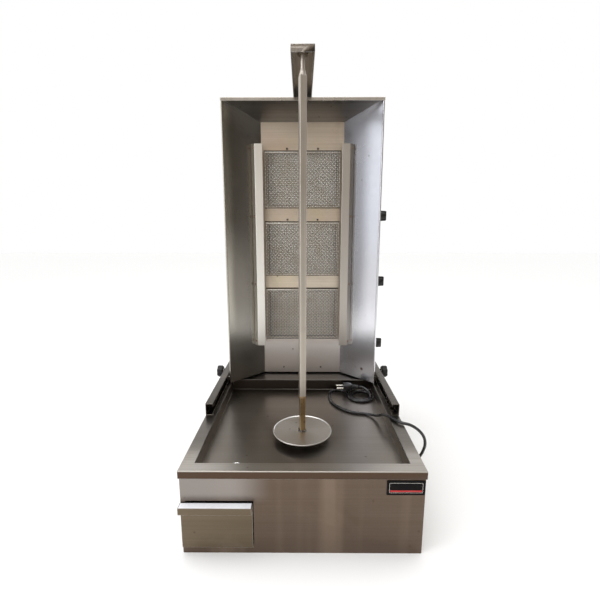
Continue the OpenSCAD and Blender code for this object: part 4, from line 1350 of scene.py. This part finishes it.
# %% Lock knobs
for side, sign in (("left", -1), ("right", 1)):
    low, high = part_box(f"{side}_lock_knob")
    y, z = middle(low, high).y, middle(low, high).z
    outer = (high.z - low.z) / 2
    tip_x = min(abs(low.x), abs(high.x))
    body = f"lock_{side}"
    stud = [(sign * out, radius) for out, radius in stud_profile(star_x - tip_x)]
    bush = [(sign * out, radius) for out, radius in bush_profile]
    make_piece(f"{side}_star_knob", star_knob(sign, y, z, outer), 40, "knob_plastic", body,
               "knob_plastic", f"{side}_lock_knob")
    make_piece(f"{side}_lock_stud", turn(bmesh.new(), stud, (sign * tip_x, y, z), count=24),
               35, "chrome_steel", body, "screw_steel")
    make_piece(f"{side}_lock_bush",
               turn(bmesh.new(), bush, (sign * (star_x - 0.0013), y, z)), 35,
               "chrome_steel", body, "screw_steel")
    print(side, "star knob", round(outer, 4))

# %% [markdown]
# ## Badge
# The badge is a black plate with a raised edge. Its thin inner line and the
# bar below are printed, so they are low strips that stand a tenth of a
# millimetre proud. It carries no lettering.


# %% Badge
def border(bm, low, high, width, front, back, bevel):
    """Four bars round a rectangle, whose corners are (x, z) pairs."""
    (left, bottom), (right, top) = low, high
    for start, end in (((left, bottom), (right, bottom + width)),
                       ((left, top - width), (right, top)),
                       ((left, bottom), (left + width, top)),
                       ((right - width, bottom), (right, top))):
        bar(bm, (start[0], front, start[1]), (end[0], back, end[1]), bevel)


badge_low, badge_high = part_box("nameplate")
face_y = badge_low.y + 0.0003
line_left, line_right = badge_low.x + 0.0042, badge_high.x - 0.0042
line_bottom, line_top = badge_low.z + 0.0040, badge_high.z - 0.0040
line = bmesh.new()
border(line, (line_left, line_bottom), (line_right, line_top), 0.0006,
       face_y - 0.0002, face_y + 0.0001, 0.00005)
make_piece("badge_line", line, 40, "badge_silver", "base", "badge_plastic")
printed_bar = bmesh.new()
bar(printed_bar, (line_left + 0.0014, face_y - 0.0003, line_bottom + 0.0018),
    (line_right - 0.0014, face_y + 0.0001, line_bottom + 0.0052), 0.0001)
make_piece("badge_bar", printed_bar, 40, "badge_red", "base", "badge_plastic")
rim = bmesh.new()
border(rim, (badge_low.x, badge_low.z), (badge_high.x, badge_high.z), 0.0009,
       badge_low.y - 0.0003, badge_low.y + 0.0004, 0.0001)
make_piece("badge_rim", rim, 40, "badge_plastic", "base", "badge_plastic")
print("badge", round(badge_high.x - badge_low.x, 4))

# %% [markdown]
# ## Screws
# Sheet metal machines are full of small fasteners. One domed head with a
# cross cut is made as a list of rings, and it is placed wherever a panel is
# held: guard strips, roof, side panels, arm straps and base. Each head is
# turned at random, as real ones stop where they are tight.

# %% Screw heads
head_corners = 24
dome = [(0.0, 1.0), (0.25, 0.98), (0.6, 0.85), (0.88, 0.6), (1.0, 0.34)]
cross_arm, cross_waist, cross_bottom = 0.30, 0.10, 0.35


def screw_head(bm, centre, out, radius):
    """A domed head with a cross recess, facing along out."""
    facing = Vector(out).normalized().to_track_quat("Z", "Y").to_matrix().to_4x4()
    spin = Matrix.Rotation(random.uniform(0, math.pi), 4, "Z")
    seat = Matrix.Translation(centre) @ facing @ spin
    height = radius / 2

    def corner(k, reach, level):
        angle = 2 * math.pi * k / head_corners
        return bm.verts.new(seat @ Vector((radius * reach * math.cos(angle),
                                           radius * reach * math.sin(angle), height * level)))

    rings = [[corner(k, reach, level) for k in range(head_corners)] for level, reach in dome]
    recess = [corner(k, cross_waist if k % (head_corners // 4) else cross_arm, cross_bottom)
              for k in range(head_corners)]
    skin(bm, rings + [recess], "open")
    bm.faces.new(recess)


def screw_set(name, body, finish, radius, places):
    """A set of equal heads at (centre, out) places, as one piece."""
    bm = bmesh.new()
    for centre, out in places:
        screw_head(bm, Vector(centre), out, radius)
    make_piece(name, bm, 40, finish, body, "screw_steel")
    print(name, len(places))


# %% Screws of the tower
both_sides = (-1, 1)
screw_set("guard_screws", "tower", "rust_screw", 0.0034, [
    ((sign * 0.131, 0.1452, z), (sign * 0.70, -0.71, 0))
    for sign in both_sides for z in (guard_high.z - 0.010, 0.630, 0.445, guard_low.z + 0.012)])
screw_set("strap_screws", "tower", "chrome_steel", 0.003, [
    ((sign * (strap_high.x - 0.006), y, roof_high.z + 0.0015), (0, 0, 1))
    for sign in both_sides for y in (strap_low.y + 0.008, strap_high.y - 0.008)])
screw_set("side_screws", "tower", "chrome_steel", 0.0032, [
    ((sign * panel_high.x, y, z), (sign, 0, 0))
    for sign in both_sides for y in (panel_low.y + 0.017, panel_high.y - 0.0125)
    for z in (panel_low.z + 0.0605, 0.56, panel_high.z - 0.0205)])
screw_set("roof_screws", "tower", "chrome_steel", 0.0032, [
    ((x, y, roof_high.z), (0, 0, 1))
    for x in (-0.18, -0.08, 0.08, 0.18) for y in (roof_low.y + 0.014, roof_high.y - 0.010)])

# %% Screws of the base
seam_heights = (0.018, 0.142)
screw_set("base_screws", "base", "chrome_steel", 0.0034, [
    ((sign * wall_x, y, z), (sign, 0, 0))
    for sign in both_sides for y in (shell_low.y + 0.023, -0.02, shell_high.y - 0.023)
    for z in seam_heights])
screw_set("rear_screws", "base", "chrome_steel", 0.0034, [
    ((x, shell_high.y, z), (0, 1, 0))
    for x in (-0.2, 0.0, 0.2) for z in seam_heights])

# %% [markdown]
# ## Drain
# The basin's drain hole has a pressed collar with a polished roll round it.
# The exact tray has the hole, and a small turned ring adds the roll.

# %% Drain rim
spout_low, spout_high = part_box("drain_spout")
spout_mid = middle(spout_low, spout_high)
collar_profile = [(-0.0008, 0.0108), (0.0004, 0.0110), (0.0010, 0.0118), (0.0010, 0.0130),
                  (0.0003, 0.0138), (0.0, 0.0140)]
collar = turn(bmesh.new(), collar_profile, (spout_mid.x, spout_mid.y, basin_floor), "z", 48,
              "joined")
make_piece("drain_rim", collar, 60, "chrome_steel", "base", "tray_steel")
print("drain rim at", round(spout_mid.x, 4), round(spout_mid.y, 4))

# %% [markdown]
# ## Light and floor
# Steel shows its surroundings, so most of the light is a soft room: white
# behind and to the left, warmer in front, dim to the right, which makes one
# wing bright and the other dark. A broad overhead sun lights the level sheet,
# and two softboxes add shape. The camera itself sees plain white behind the
# machine, and the floor is plain and pale.

# %% Floor
floor_reach = 9
floor_data = bpy.data.meshes.new("floor")
floor_data.from_pydata([(-floor_reach, -floor_reach, 0), (floor_reach, -floor_reach, 0),
                        (floor_reach, floor_reach, 0), (-floor_reach, floor_reach, 0)],
                       [], [(0, 1, 2, 3)])
floor = into_scene("floor", floor_data)
tree, shader = new_finish("floor_pale")
shader.inputs["Base Color"].default_value = (0.93, 0.93, 0.92, 1)
shader.inputs["Roughness"].default_value = 0.9
wear(floor, "floor_pale")
print("floor", 2 * floor_reach, "metres")

# %% Room light
world = bpy.data.worlds.new("room")
bpy.context.scene.world = world
world.use_nodes = True
tree = world.node_tree
way = put(tree, "SeparateXYZ", {0: put(tree, "TexCoord").outputs["Generated"]}).outputs
behind = spread(tree, way["Y"], -0.05, 0.45)
leftward = both(tree, spread(tree, way["X"], -0.15, -0.7), spread(tree, way["Y"], 0.5, 0.0))
rightward = both(tree, spread(tree, way["X"], 0.15, 0.65), spread(tree, way["Y"], 0.35, -0.05))
upward = spread(tree, way["Z"], 0.45, 0.9)
room = blend_colour(tree, behind, (0.58, 0.52, 0.46, 1), (1.0, 1.0, 1.0, 1))
room = tint(tree, room, leftward, (1.15, 1.18, 1.25))
room = tint(tree, room, rightward, (0.17, 0.155, 0.13))
room = tint(tree, room, upward, (0.85, 0.85, 0.86))
seen = put(tree, "LightPath").outputs["Is Camera Ray"]
room = tint(tree, room, seen, (1.0, 1.0, 1.0))
tree.links.new(room, tree.nodes["Background"].inputs["Color"])
tree.nodes["Background"].inputs["Strength"].default_value = 1.0
print("room", len(tree.nodes), "nodes")


# %% Softboxes and sun
def softbox(name, place, aim, size, power, colour=(1, 1, 1)):
    """A rectangular lamp, aimed at a point."""
    data = bpy.data.lights.new(name, "AREA")
    data.shape = "RECTANGLE"
    data.size, data.size_y = size
    data.energy = power
    data.color = colour
    lamp = into_scene(name, data)
    lamp.location = place
    lamp.rotation_euler = (Vector(aim) - Vector(place)).to_track_quat("-Z", "Y").to_euler()


softbox("softbox_top", (-0.4, -0.3, 2.6), (0, 0, 0.2), (2.2, 2.2), 22)
softbox("softbox_left", (-2.0, -1.3, 1.3), (0, 0.1, 0.5), (1.0, 1.8), 14, (0.95, 0.97, 1.0))
sun = bpy.data.lights.new("overhead", "SUN")
sun.energy = 0.75
sun.angle = math.radians(70)
into_scene("overhead", sun)
bpy.context.scene.view_settings.view_transform = "Standard"
print("lamps", len(bpy.data.lights))

# %% [markdown]
# ## Finish
# Last, the view layer is updated.

# %% Finish
bpy.context.view_layer.update()
